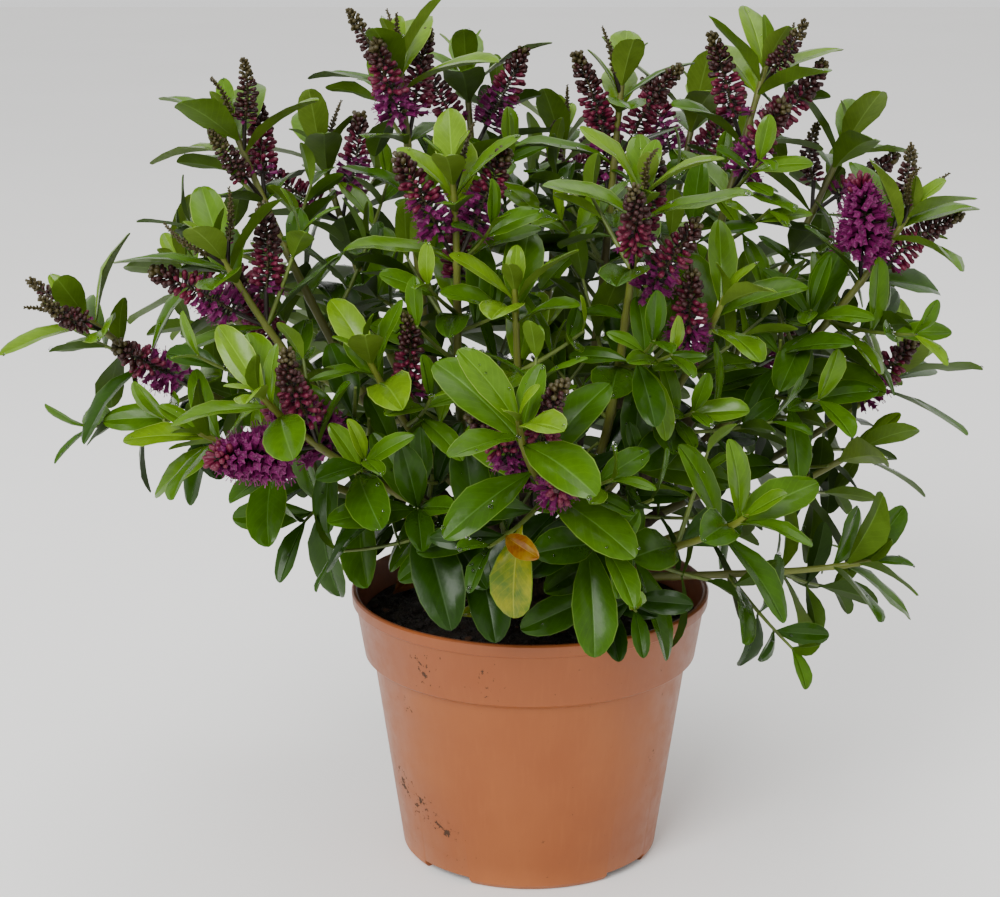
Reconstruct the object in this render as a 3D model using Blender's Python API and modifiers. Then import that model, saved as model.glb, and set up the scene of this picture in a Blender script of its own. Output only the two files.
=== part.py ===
# A hebe shrub in flower, growing in a round plastic nursery pot. Metres, +Z up.
# The origin is the middle of the pot's flat underside, and -Y is the front.
# Many stems rise from one short trunk. Each stem is a bare bough up to the point where it
# enters its mass of foliage, and goes on inside that mass as the mass's own stem.

import math
import random
from collections import namedtuple

import bmesh
import bpy
from mathutils import Vector
from mathutils.bvhtree import BVHTree
from mathutils.geometry import interpolate_bezier, intersect_point_line

MM = 0.001
UP = Vector((0, 0, 1))
GAP = 0.3 * MM  # clear distance kept between neighbouring solids

# Pot: 17 cm across and 13 cm high, moulded in one thin wall
POT_HEIGHT = 130 * MM
RIM_RADIUS = 85 * MM
LIP_HEIGHT = 6 * MM
LIP_STEP = 1.2 * MM  # how far the lip stands out from the band below it
BAND_FOOT_HEIGHT = 99 * MM
BAND_FOOT_RADIUS = 79 * MM
LEDGE_DROP = 2.8 * MM  # the sloping ledge under the band
BODY_TOP_RADIUS = 74.7 * MM
FOOT_RADIUS = 61 * MM
FOOT_ROUNDING = 2.5 * MM
WALL = 1.6 * MM
POT_FACETS = 36
SLOT_ANGLES = tuple(math.radians(a) for a in (229, 319, 49, 139))  # drain slots in the foot
SLOT_SIZE = (28 * MM, 14 * MM, 8 * MM)  # along the foot, through the wall, and in height
SLOT_TOP = 4 * MM

# Soil, filled to below the rim, with a slight mound
SOIL_HEIGHT = 116 * MM
SOIL_MOUND = 3 * MM
SOIL_MOUND_RADIUS = 22 * MM  # the flat middle, where the trunk stands

# Trunk: a short woody stool with a root flare
TRUNK_HEIGHT = 42 * MM
TRUNK_RADIUS = 9.5 * MM
TRUNK_TOP_RADIUS = 7.5 * MM
TRUNK_FLARE = 14.5 * MM
TRUNK_LEAN = Vector((1.5 * MM, -2.5 * MM, 0))
TRUNK_SIDES = 14
TRUNK_LEVELS = 6

# Limbs: each tapers with the square root of the distance to its tip
LIMB_TIP_RADIUS = 1.2 * MM
LIMB_TAPER = 0.0041  # times the square root of the distance, in metres
BOUGH_SIDES = 5
STEM_SIDES = 4
TWIG_SIDES = 3
BOUGH_RISE = math.radians(32)  # slope at which a bough leaves the trunk
BOUGH_STUB = 2.5 * MM  # level start of a bough, so that its cut faces the trunk
BOUGH_TIERS = 4
PATH_STEPS = 24
FOLIAGE_SHARE = 0.68  # of a stem's length, at most, is leafy
FOLIAGE_LENGTH = 140 * MM

# Leaves stand in opposite pairs, each pair turned a quarter from the last
LEAF_LENGTH = 51 * MM
LEAF_SLIMNESS = 0.43  # width over length
LEAF_THICKNESS = 1.3 * MM
LEAF_FOLD = math.radians(14)
ROOT_DEPTH = 0.6 * MM  # how far past its stem's axis a leaf's root is sunk
LEAF_RINGS = (0.0, 0.40, 0.86, 1.0)  # shares of the length: root, two sections, tip
SMALL_LEAF_RINGS = (0.0, 0.55, 1.0)
PAIRS = 8
ROSETTE_PAIRS = 3  # these stand close together at the tip
ROSETTE_LENGTH = 18 * MM
INTERNODE = 24 * MM  # between the pairs below the rosette
LIGHT_PULL = 0.55  # how strongly a leaf's upper face turns to the sky
LIFT = 0.14  # and how strongly the leaf itself rises towards it

# Flower spikes stand in the axils below the top leaves
PEDUNCLE = 15 * MM
SPIKE_RINGS = 5
SPIKE_SIDES = 5
SPIKE_KINDS = {  # length and greatest radius by how far the flowers have opened
    "bud": (28 * MM, 6.0 * MM),
    "colouring": (38 * MM, 8.5 * MM),
    "opening": (39 * MM, 9.5 * MM),
    "bloom": (30 * MM, 15.0 * MM),
}

# Side shoots carry small leaves, low on each stem
SIDE_SHOOT_LENGTH = 46 * MM
SIDE_SHOOT_PAIRS = 3
SIDE_LEAF_LENGTH = 30 * MM

KEPT_FACETS = (0.67, 0.7, 0.74, 0.78, 0.83, 0.9)  # shares to try to keep of a joined mass's facets
SPACE_REACH = 84 * MM  # a mass reaches this far from its own stem
SPACE_SHARE = 9 * MM  # and this far past the middle between two stems
CLEARANCE = 0.45 * MM
TRIES = 9

Leader = namedtuple("Leader", "tip turn lift shoots draw spikes")
Leaf = namedtuple("Leaf", "root out face length width arch small")
Spike = namedtuple("Spike", "foot out length radius")
Solid = namedtuple("Solid", "tree centre radius owner")

# Each leading shoot: its tip in millimetres, the turn of its leaf pairs in degrees, how
# strongly its tip turns upwards, its side shoots, the number that its chances are drawn
# from, and its spikes as (pair, side, kind)
LEADERS = {
    "front_low": Leader(
        (-7, -165, 255), 40, 0.5, 2, 2401, ((4, 0, "colouring"), (5, 1, "opening"), (5, 0, "opening"))
    ),
    "front_tall": Leader(
        (-35, -60, 337), 0, 0.6, 3, 402, ((4, 0, "opening"), (4, 1, "opening"), (5, 0, "colouring"))
    ),
    "front_right_tall": Leader(
        (47, -85, 337), 80, 0.5, 3, 1403, ((4, 0, "colouring"), (5, 1, "opening"), (4, 1, "colouring"))
    ),
    "left_front": Leader(
        (-115, -125, 257), 10, 0.4, 2, 5404, ((4, 0, "colouring"), (4, 1, "bloom"), (5, 0, "bloom"))
    ),
    "left_outer": Leader(
        (-205, -30, 271), 20, 0.3, 1, 405, ((3, 0, "bud"), (3, 1, "bud"), (5, 1, "opening"))
    ),
    "left_high": Leader(
        (-138, 12, 351), 70, 0.6, 2, 2406, ((3, 0, "bud"), (4, 0, "colouring"), (4, 1, "bud"))
    ),
    "left_mid": Leader(
        (-137, -60, 304), 0, 0.5, 2, 407, ((4, 0, "colouring"), (4, 1, "opening"), (5, 0, "colouring"))
    ),
    "left_low": Leader((-148, -62, 222), 75, 0.0, 2, 408, ()),
    "top_left": Leader(
        (-61, 10, 381), 70, 0.7, 3, 1409, ((4, 0, "colouring"), (4, 1, "opening"), (3, 1, "bud"))
    ),
    "top_left_back": Leader((-31, 85, 366), 0, 0.7, 3, 410, ((4, 0, "opening"), (4, 1, "colouring"))),
    "top_mid": Leader(
        (42, 20, 370), 0, 0.7, 3, 4411, ((4, 0, "colouring"), (4, 1, "colouring"), (5, 0, "opening"))
    ),
    "top_right": Leader(
        (108, 15, 378), 30, 0.5, 3, 412,
        ((3, 0, "bud"), (4, 0, "colouring"), (4, 1, "colouring"), (5, 1, "opening")),
    ),
    "right_back_high": Leader((155, 80, 333), 5, 0.5, 2, 413, ((4, 0, "colouring"), (4, 1, "bud"))),
    "right_outer": Leader(
        (171, -22, 316), 30, 0.5, 2, 414, ((4, 0, "colouring"), (4, 1, "bloom"), (3, 1, "bud"))
    ),
    "right_mid": Leader((182, 38, 229), 60, 0.3, 2, 5415, ((4, 1, "opening"),)),
    "right_inner": Leader((161, 10, 198), 0, 0.2, 2, 416, ()),
    "right_front": Leader((91, -110, 198), 50, 0.3, 2, 1417, ()),
    "right_low": Leader((156, -40, 155), 20, 0.1, 2, 1418, ()),
    "inner_front": Leader((-8, -78, 290), 80, 0.5, 3, 419, ()),
    "inner_left": Leader((-72, -80, 262), 20, 0.5, 3, 420, ((4, 0, "colouring"),)),
    "inner_right": Leader((84, -62, 284), 25, 0.5, 3, 421, ((4, 1, "opening"),)),
    "back_left": Leader((-105, 105, 326), 10, 0.6, 2, 1422, ((4, 0, "opening"), (4, 1, "colouring"))),
    "back_left_outer": Leader((-174, 85, 270), 70, 0.4, 2, 1423, ((4, 0, "colouring"), (5, 1, "opening"))),
    "back_mid": Leader((19, 160, 324), 70, 0.5, 2, 1424, ((4, 0, "opening"), (4, 1, "bud"))),
    "back_right": Leader((85, 125, 345), 0, 0.6, 2, 425, ((4, 0, "colouring"), (4, 1, "opening"))),
    "back_right_low": Leader((135, 130, 235), 85, 0.4, 2, 426, ((4, 0, "opening"),)),
    "back_low_left": Leader((-100, 165, 225), 60, 0.3, 2, 427, ((4, 0, "colouring"),)),
    "back_low_right": Leader((49, 185, 217), 0, 0.5, 2, 2428, ()),
}


def clear_scene():
    for thing in list(bpy.data.objects):
        bpy.data.objects.remove(thing)


def collection(name):
    made = bpy.data.collections.new(name)
    bpy.context.scene.collection.children.link(made)
    return made


def material(name, colour, roughness, metallic=0.0):
    made = bpy.data.materials.new(name)
    made.use_nodes = True
    shader = made.node_tree.nodes["Principled BSDF"]
    shader.inputs["Base Color"].default_value = (*colour, 1.0)
    shader.inputs["Roughness"].default_value = roughness
    shader.inputs["Metallic"].default_value = metallic
    return made


def add_object(name, mesh, group, finish):
    thing = bpy.data.objects.new(name, mesh)
    group.objects.link(thing)
    if finish is not None:
        thing.data.materials.append(finish)
    return thing


def mesh_from(build, name):
    mesh = bpy.data.meshes.new(name)
    build.to_mesh(mesh)
    build.free()
    return mesh


# Turned pieces

def turned(name, profile, group, finish):
    """Turns (radius, height) points about Z. They run from the top middle out and down to the foot's."""
    mesh = bpy.data.meshes.new(name)
    points = [(radius, 0, height) for radius, height in profile]
    mesh.from_pydata(points, [(i, i + 1) for i in range(len(points) - 1)], [])
    thing = add_object(name, mesh, group, finish)
    screw = thing.modifiers.new("Turn", "SCREW")
    screw.steps = screw.render_steps = POT_FACETS
    screw.use_merge_vertices = True
    screw.merge_threshold = 0.00001
    return thing


def wall_radius(height):
    """Outer radius of the pot's lower body at a height."""
    share = height / (BAND_FOOT_HEIGHT - LEDGE_DROP)
    return FOOT_RADIUS + (BODY_TOP_RADIUS - FOOT_RADIUS) * share


def pot_profile():
    band_top = POT_HEIGHT - LIP_HEIGHT
    ledge = BAND_FOOT_HEIGHT - LEDGE_DROP
    edge = 0.8 * MM  # small rounding of the lip and of the band's foot
    inside = [
        (0, WALL),
        (wall_radius(WALL) - WALL, WALL),
        (BODY_TOP_RADIUS - WALL, ledge + WALL),
        (BAND_FOOT_RADIUS - WALL, BAND_FOOT_HEIGHT + WALL),
        (RIM_RADIUS - LIP_STEP - WALL, POT_HEIGHT - edge),
        (RIM_RADIUS - LIP_STEP - WALL + edge, POT_HEIGHT),
    ]
    outside = [
        (RIM_RADIUS - edge, POT_HEIGHT),
        (RIM_RADIUS, POT_HEIGHT - edge),
        (RIM_RADIUS - edge / 2, band_top),
        (RIM_RADIUS - LIP_STEP - edge, band_top - edge),
        (BAND_FOOT_RADIUS, BAND_FOOT_HEIGHT),
        (BAND_FOOT_RADIUS - edge, BAND_FOOT_HEIGHT - edge),
        (BODY_TOP_RADIUS, ledge),
        (wall_radius(FOOT_ROUNDING), FOOT_ROUNDING),
        (wall_radius(0) - FOOT_ROUNDING / 2, 0.4 * MM),
        (wall_radius(0) - FOOT_ROUNDING, 0),
        (0, 0),
    ]
    return inside + outside


def make_pot(group, cutters, finish):
    pot = turned("pot", pot_profile(), group, finish)
    for number, angle in enumerate(SLOT_ANGLES):
        build = bmesh.new()
        bmesh.ops.create_cube(build, size=1)
        cutter = add_object(f"slot_cutter_{number}", mesh_from(build, "slot"), cutters, None)
        cutter.scale = SLOT_SIZE
        cutter.rotation_euler = (0, 0, angle + math.pi / 2)
        cutter.location = (
            FOOT_RADIUS * math.cos(angle),
            FOOT_RADIUS * math.sin(angle),
            SLOT_TOP - SLOT_SIZE[2] / 2,
        )
        cutter.hide_render = True
        cutter.display_type = "WIRE"
        cut = pot.modifiers.new(f"Slot {number}", "BOOLEAN")
        cut.operation = "DIFFERENCE"
        cut.object = cutter
    return pot


def make_soil(group, finish):
    inset = WALL + GAP
    ledge = BAND_FOOT_HEIGHT - LEDGE_DROP + WALL
    band = BAND_FOOT_HEIGHT + WALL
    rise = (SOIL_HEIGHT - band) / (POT_HEIGHT - band)
    top_radius = BAND_FOOT_RADIUS + (RIM_RADIUS - LIP_STEP - BAND_FOOT_RADIUS) * rise
    foot = WALL + GAP
    profile = [
        (0, SOIL_HEIGHT + SOIL_MOUND),
        (SOIL_MOUND_RADIUS, SOIL_HEIGHT + SOIL_MOUND),
        (top_radius - inset - 4 * MM, SOIL_HEIGHT + GAP),
        (top_radius - inset - GAP, SOIL_HEIGHT - MM),
        (BAND_FOOT_RADIUS - inset - GAP, band),
        (BODY_TOP_RADIUS - inset - GAP, ledge),
        (wall_radius(foot) - inset - GAP, foot),
        (0, foot),
    ]
    return turned("soil", profile, group, finish)


# Limbs

def ring_profile(sides, helpers):
    """A flat ring of one metre radius, which a limb's curve is swept with."""
    curve = bpy.data.curves.new(f"ring_{sides}", "CURVE")
    spline = curve.splines.new("POLY")
    spline.points.add(sides - 1)
    for i, point in enumerate(spline.points):
        angle = 2 * math.pi * i / sides
        point.co = (math.cos(angle), math.sin(angle), 0, 1)
    spline.use_cyclic_u = True
    ring = bpy.data.objects.new(f"ring_{sides}", curve)
    helpers.objects.link(ring)
    ring.hide_render = True
    return ring


def limb(name, points, radii, ring, group, finish):
    """A tapering tube along points, as a closed mesh object."""
    curve = bpy.data.curves.new(name, "CURVE")
    curve.dimensions = "3D"
    curve.bevel_mode = "OBJECT"
    curve.bevel_object = ring
    curve.use_fill_caps = True
    spline = curve.splines.new("POLY")
    spline.points.add(len(points) - 1)
    for place, point, radius in zip(spline.points, points, radii):
        place.co = (*point, 1)
        place.radius = radius
    swept = bpy.data.objects.new(name + "_curve", curve)
    group.objects.link(swept)
    graph = bpy.context.evaluated_depsgraph_get()
    build = bmesh.new()
    mesh = bpy.data.meshes.new_from_object(swept.evaluated_get(graph))
    build.from_mesh(mesh)
    bmesh.ops.remove_doubles(build, verts=build.verts, dist=0.00001)
    bmesh.ops.recalc_face_normals(build, faces=build.faces)
    build.to_mesh(mesh)
    build.free()
    made = add_object(name, mesh, group, finish)
    made.matrix_world = swept.matrix_world
    bpy.data.objects.remove(swept)
    return made


def limb_radius(from_tip):
    return LIMB_TIP_RADIUS + LIMB_TAPER * math.sqrt(max(from_tip, 0))


def trunk_middle(height):
    """Centre of the trunk at a height above the soil. It leans only above its foot."""
    share = max(height / TRUNK_HEIGHT, 0)
    return Vector((0, 0, SOIL_HEIGHT + SOIL_MOUND + GAP + height)) + TRUNK_LEAN * share**2


def trunk_radius(height):
    share = height / TRUNK_HEIGHT
    flare = (TRUNK_FLARE - TRUNK_RADIUS) * math.exp(-height / (2.8 * MM))
    return TRUNK_RADIUS + (TRUNK_TOP_RADIUS - TRUNK_RADIUS) * share + flare


def make_trunk(ring, group, finish):
    shares = [(i / (TRUNK_LEVELS - 1)) ** 1.6 for i in range(TRUNK_LEVELS)]
    heights = [TRUNK_HEIGHT * share for share in shares]
    points = [trunk_middle(h) for h in heights]
    points[1].xy = points[0].xy  # so that the cut at the foot is level
    return limb("trunk", points, [trunk_radius(h) for h in heights], ring, group, finish)


def heading(point, centre):
    """Compass angle of a point as seen from the trunk."""
    return math.atan2(point.y - centre.y, point.x - centre.x)


def bough_feet():
    """Where each leader's bough leaves the trunk: {name: (height on the trunk, angle)}.

    Low-reaching stems start in the lowest tier and tall ones in the highest, and each tier
    is spaced evenly round the trunk in the order of its tips, so that no stems cross.
    """
    crown_foot = trunk_middle(TRUNK_HEIGHT / 2)
    tips = {name: Vector(leader.tip) * MM for name, leader in LEADERS.items()}

    def slope(name):
        away = tips[name] - crown_foot
        return away.z / away.xy.length

    ranked = sorted(tips, key=slope)
    feet = {}
    for tier in range(BOUGH_TIERS):
        first = len(ranked) * tier // BOUGH_TIERS
        last = len(ranked) * (tier + 1) // BOUGH_TIERS
        ring = sorted(ranked[first:last], key=lambda name: heading(tips[name], crown_foot))
        step = 2 * math.pi / len(ring)
        drift = [heading(tips[name], crown_foot) - step * i for i, name in enumerate(ring)]
        start = sum(drift) / len(drift)
        height = TRUNK_HEIGHT * (tier + 1.2) / (BOUGH_TIERS + 0.7)
        for i, name in enumerate(ring):
            feet[name] = (height, start + step * i)
    return feet


def leader_path(leader, foot):
    """Points from the trunk to the leader's tip, close together."""
    height, angle = foot
    tip = Vector(leader.tip) * MM
    outward = Vector((math.cos(angle), math.sin(angle), 0))
    start_way = outward * math.cos(BOUGH_RISE) + UP * math.sin(BOUGH_RISE)
    length = (tip - trunk_middle(height)).length
    lower_edge = height - limb_radius(length * 1.1)
    start = trunk_middle(height) + outward * (trunk_radius(lower_edge) + GAP)
    tip_way = ((tip - start).normalized() + UP * leader.lift).normalized()
    return interpolate_bezier(
        start, start + start_way * length * 0.28, tip - tip_way * length * 0.36, tip, PATH_STEPS
    )


def lengths_along(path):
    total, made = 0.0, [0.0]
    for a, b in zip(path, path[1:]):
        total += (b - a).length
        made.append(total)
    return made


def place_on(path, distance):
    """The point at a distance from the path's start, and the way the path runs there."""
    so_far = 0.0
    for a, b in zip(path, path[1:]):
        step = (b - a).length
        if so_far + step >= distance or b is path[-1]:
            return a + (b - a) * ((distance - so_far) / step), (b - a) / step
        so_far += step


def part_of(path, start, end, count):
    """Evenly spaced points on the stretch of path between two distances."""
    return [place_on(path, start + (end - start) * i / (count - 1))[0] for i in range(count)]


# Leaves and flower spikes

def frame_about(way):
    """Two directions square to a way, which turn as little as possible from X and Y."""
    turn = UP.rotation_difference(way)
    return turn @ Vector((1, 0, 0)), turn @ Vector((0, 1, 0))


def round_stem(way, angle):
    across, beyond = frame_about(way)
    return across * math.cos(angle) + beyond * math.sin(angle)


def leaf_width_share(t):
    """Half width along a leaf, as a share of the greatest: widest past the middle."""
    widest = 0.62
    return (t / widest) ** 0.9 * ((1 - t) / (1 - widest)) ** 0.55


def leaf_point(leaf, t):
    """Centre line of an arching leaf at a share of its length, and its upper face's way."""
    bend = leaf.arch * t
    reach = math.sin(bend) / leaf.arch
    drop = (1 - math.cos(bend)) / leaf.arch
    centre = leaf.root + (leaf.out * reach - leaf.face * drop) * leaf.length
    return centre, leaf.face * math.cos(bend) + leaf.out * math.sin(bend)


def leaf_build(leaf, grow=0.0, start=0.0):
    """A leaf as a closed bmesh: a coarse sphere whose rings become its sections."""
    rings = SMALL_LEAF_RINGS if leaf.small else LEAF_RINGS
    build = bmesh.new()
    bmesh.ops.create_uvsphere(build, u_segments=3, v_segments=len(rings) - 1, radius=1)
    across = leaf.out.cross(leaf.face)
    for vert in build.verts:
        level = round(math.acos(max(-1, min(1, vert.co.z))) / math.pi * (len(rings) - 1))
        t = max(rings[level], start)
        centre, face = leaf_point(leaf, t)
        if level in (0, len(rings) - 1):
            vert.co = centre
            continue
        corner = round(math.atan2(vert.co.y, vert.co.x) / (2 * math.pi / 3)) % 3
        half = leaf.width / 2 * leaf_width_share(t) + grow
        if corner == 0:
            vert.co = centre - face * (LEAF_THICKNESS + grow)
        else:
            side = 1 if corner == 1 else -1
            vert.co = centre + across * side * half * math.cos(LEAF_FOLD)
            vert.co += face * (half * math.sin(LEAF_FOLD) + grow)
    bmesh.ops.triangulate(build, faces=build.faces)
    bmesh.ops.recalc_face_normals(build, faces=build.faces)
    return build


def spike_build(spike, grow=0.0):
    """A flower spike: a spindle that is widest low down, with a bristly outline."""
    build = bmesh.new()
    bmesh.ops.create_uvsphere(build, u_segments=SPIKE_SIDES, v_segments=SPIKE_RINGS - 1, radius=1)
    across, beyond = frame_about(spike.out)
    for vert in build.verts:
        level = round(math.acos(max(-1, min(1, vert.co.z))) / math.pi * (SPIKE_RINGS - 1))
        t = level / (SPIKE_RINGS - 1)
        angle = math.atan2(vert.co.y, vert.co.x)
        ends = level in (0, SPIKE_RINGS - 1)
        full = 0.0 if ends else spike.radius * (1.12 - 0.72 * t) + grow
        if (level + round(angle / (2 * math.pi / SPIKE_SIDES))) % 2 and not grow:
            full *= 0.72
        stretch = -grow if level == 0 else grow if level == SPIKE_RINGS - 1 else 0
        vert.co = spike.foot + spike.out * (spike.length * t + stretch)
        vert.co += (across * math.cos(angle) + beyond * math.sin(angle)) * full
    bmesh.ops.triangulate(build, faces=build.faces)
    bmesh.ops.recalc_face_normals(build, faces=build.faces)
    return build


# Growth

class Crown:
    """What has grown so far, and the tests that keep each new piece clear of it."""

    def __init__(self, paths):
        self.placed = []
        self.stems = {}
        for name, (path, leafy) in paths.items():
            total = lengths_along(path)[-1]
            self.stems[name] = part_of(path, total - leafy, total, 6)

    def add(self, build, owner):
        points = [vert.co.copy() for vert in build.verts]
        middle = sum(points, Vector()) / len(points)
        radius = max((point - middle).length for point in points)
        self.placed.append(Solid(BVHTree.FromBMesh(build), middle, radius, owner))
        build.free()

    def touches(self, build, ignore=()):
        points = [vert.co for vert in build.verts]
        middle = sum(points, Vector()) / len(points)
        radius = max((point - middle).length for point in points)
        tree = None
        for solid in self.placed:
            if solid.owner in ignore or (solid.centre - middle).length > solid.radius + radius:
                continue
            tree = tree or BVHTree.FromBMesh(build)
            if tree.overlap(solid.tree):
                return True
        return False

    def distance(self, point, name):
        stem = self.stems[name]
        best = math.inf
        for a, b in zip(stem, stem[1:]):
            near, share = intersect_point_line(point, a, b)
            share = max(0.0, min(1.0, share))
            best = min(best, (a + (b - a) * share - point).length)
        return best

    def in_space(self, point, name):
        """True if a point is in the named mass's own space."""
        own = self.distance(point, name)
        if own > SPACE_REACH:
            return False
        return all(own < self.distance(point, other) + SPACE_SHARE for other in self.stems if other != name)


def grow_leaf(crown, name, rng, root, way, angle, pitch, length, small=False):
    """Tries a leaf, then the same leaf turned a little more each time. Returns it or None."""
    for attempt in range(TRIES):
        loose = 0.4 + attempt * 0.45
        turn = angle + math.radians(9) * loose * rng.uniform(-1, 1)
        slant = pitch + math.radians(8) * loose * rng.uniform(-1, 1)
        size = length * (1 - 0.05 * attempt) * rng.uniform(0.93, 1.05)
        out = way * math.cos(slant) + round_stem(way, turn) * math.sin(slant)
        out = (out + UP * LIFT).normalized()
        face = way + UP * LIGHT_PULL
        face = (face - out * face.dot(out)).normalized()
        arch = math.radians(rng.uniform(16, 40))
        width = size * LEAF_SLIMNESS * rng.uniform(0.92, 1.08)
        leaf = Leaf(root - out * ROOT_DEPTH, out, face, size, width, arch, small)
        if not all(crown.in_space(leaf_point(leaf, t)[0], name) for t in (0.5, 1.0)):
            continue
        trial = leaf_build(leaf, CLEARANCE, 0.16)
        if crown.touches(trial):
            trial.free()
            continue
        crown.add(trial, name)
        return leaf
    return None


def node_distance(pair):
    """Distance of a leaf pair from the stem's tip: a close rosette, and long internodes below it."""
    if pair <= ROSETTE_PAIRS:
        return 2.5 * MM + (ROSETTE_LENGTH - 2.5 * MM) * (pair / ROSETTE_PAIRS) ** 1.2
    return ROSETTE_LENGTH + INTERNODE * (pair - ROSETTE_PAIRS)


def pair_pitch(pair):
    return math.radians(14 + 74 * (1 - math.exp(-pair / 2.6)))


def pair_length(pair):
    return LEAF_LENGTH * (1 - 0.55 * math.exp(-pair / 1.05))


def grow_pair(crown, name, leader, path, leafy, pair, rng):
    """The leaves of one opposite pair that find room on the leader's stem."""
    if node_distance(pair) > leafy - 5 * MM:
        return []
    root, way = place_on(path, lengths_along(path)[-1] - node_distance(pair))
    made = []
    for side in (0, 1):
        if pair > 5 and rng.random() < 0.2:
            continue  # old leaves have dropped here and there
        angle = math.radians(leader.turn + 90 * pair + 180 * side)
        leaf = grow_leaf(crown, name, rng, root, way, angle, pair_pitch(pair), pair_length(pair))
        if leaf:
            made.append(leaf)
    return made


def grow_spikes(crown, name, leader, path, rng):
    """Flower spikes and their stalks, from the axils that the leader names."""
    made = []
    total = lengths_along(path)[-1]
    for pair, side, kind in leader.spikes:
        foot, way = place_on(path, total - node_distance(pair))
        length, radius = SPIKE_KINDS[kind]
        for attempt in range(TRIES):
            stray = rng.uniform(-12, 12) * (1 + attempt)
            angle = math.radians(leader.turn + 90 * pair + 180 * side + stray)
            lean = math.radians(27 + 6 * attempt + rng.uniform(-5, 5))
            out = (way * math.cos(lean) + round_stem(way, angle) * math.sin(lean)).normalized()
            spike = Spike(foot + out * PEDUNCLE, out, length, radius)
            trial = spike_build(spike, CLEARANCE)
            if crown.touches(trial):
                trial.free()
                continue
            crown.add(trial, name)
            made.append((foot, spike))
            break
    return made


def grow_side_shoots(crown, name, leader, path, leafy, rng):
    """Side shoots low on the stem, each with pairs of small leaves: [(points, leaves)]."""
    made = []
    total = lengths_along(path)[-1]
    for number in range(leader.shoots):
        pair = 4 + number
        if node_distance(pair) > leafy - 6 * MM:
            break
        foot, way = place_on(path, total - node_distance(pair))
        for attempt in range(TRIES):
            stray = rng.uniform(-30, 30) * (1 + attempt * 0.5)
            angle = math.radians(leader.turn + 90 * pair + 45 + 180 * (number % 2) + stray)
            lean = math.radians(rng.uniform(45, 62))
            out = (way * math.cos(lean) + round_stem(way, angle) * math.sin(lean)).normalized()
            bend = (out + UP * 0.25).normalized()
            size = SIDE_SHOOT_LENGTH * rng.uniform(0.8, 1.15)
            points = [foot, foot + out * size * 0.5, foot + out * size * 0.5 + bend * size * 0.5]
            trial = rod_build(points[0] + out * 4 * MM, points[2], 1.4 * MM)
            if not crown.in_space(points[2], name) or crown.touches(trial):
                trial.free()
                continue
            crown.add(trial, name)
            leaves = []
            for step in range(SIDE_SHOOT_PAIRS):
                spot = place_on(points, size * (0.97 - 0.24 * step))[0]
                pitch = math.radians(28 + 20 * step)
                length = SIDE_LEAF_LENGTH * (0.75 + 0.2 * step)
                for side in (0, 1):
                    turn = angle + math.pi / 2 * step + math.pi * side
                    leaves.append(grow_leaf(crown, name, rng, spot, bend, turn, pitch, length, small=True))
            made.append((points, [leaf for leaf in leaves if leaf]))
            break
    return made


def rod_build(start, end, radius):
    """A straight rod as a bmesh, for testing the room that a limb takes."""
    build = bmesh.new()
    length = (end - start).length
    bmesh.ops.create_cone(
        build, cap_ends=True, cap_tris=True, segments=6, radius1=radius, radius2=radius, depth=length
    )
    turn = UP.rotation_difference((end - start).normalized())
    for vert in build.verts:
        vert.co = turn @ vert.co + (start + end) / 2
    return build


def add_limb_room(crown, path, owner, radius_at):
    """Adds a limb to the crown as short rods."""
    ways = lengths_along(path)
    for i in range(0, len(path) - 2, 2):
        crown.add(rod_build(path[i], path[i + 2], radius_at(ways[-1] - ways[i]) + CLEARANCE), owner)


def add_object_room(crown, thing):
    graph = bpy.context.evaluated_depsgraph_get()
    tree = BVHTree.FromObject(thing, graph)
    corners = [Vector(c) for c in thing.evaluated_get(graph).bound_box]
    middle = sum(corners, Vector()) / 8
    crown.placed.append(Solid(tree, middle, (corners[0] - middle).length, thing.name))


def grow(blocks):
    """Grows the whole crown. Returns {name: (path, leafy length, leaves, spikes, side shoots)}."""
    feet = bough_feet()
    paths = {}
    for name, leader in LEADERS.items():
        path = leader_path(leader, feet[name])
        total = lengths_along(path)[-1]
        paths[name] = (path, min(FOLIAGE_LENGTH, total * FOLIAGE_SHARE))
    crown = Crown(paths)
    for thing in blocks:
        add_object_room(crown, thing)
    for name, (path, leafy) in paths.items():
        add_limb_room(crown, path, name + " limb", limb_radius)
    draws = {name: random.Random(leader.draw) for name, leader in LEADERS.items()}
    spikes = {}
    for name, leader in LEADERS.items():
        spikes[name] = grow_spikes(crown, name, leader, paths[name][0], draws[name])
    leaves = {name: [] for name in LEADERS}
    for pair in range(PAIRS):
        for name, leader in LEADERS.items():
            leaves[name] += grow_pair(crown, name, leader, *paths[name], pair, draws[name])
    grown = {}
    for name, leader in LEADERS.items():
        shoots = grow_side_shoots(crown, name, leader, *paths[name], draws[name])
        grown[name] = (*paths[name], leaves[name], spikes[name], shoots)
    return grown


# Building the masses

def make_bough(name, path, leafy, ring, group, finish):
    total = lengths_along(path)[-1]
    end = total - leafy - GAP / 2
    count = max(4, round(end / (30 * MM)) + 1)
    points = part_of(path, 0, end, count)
    radii = [limb_radius(total - end * i / (count - 1)) for i in range(count)]
    outward = Vector((path[1] - path[0]).xy.to_3d()).normalized()
    points.insert(1, points[0] + outward * BOUGH_STUB)
    radii.insert(1, radii[0])
    return limb(f"bough_{name}", points, radii, ring, group, finish)


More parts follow.
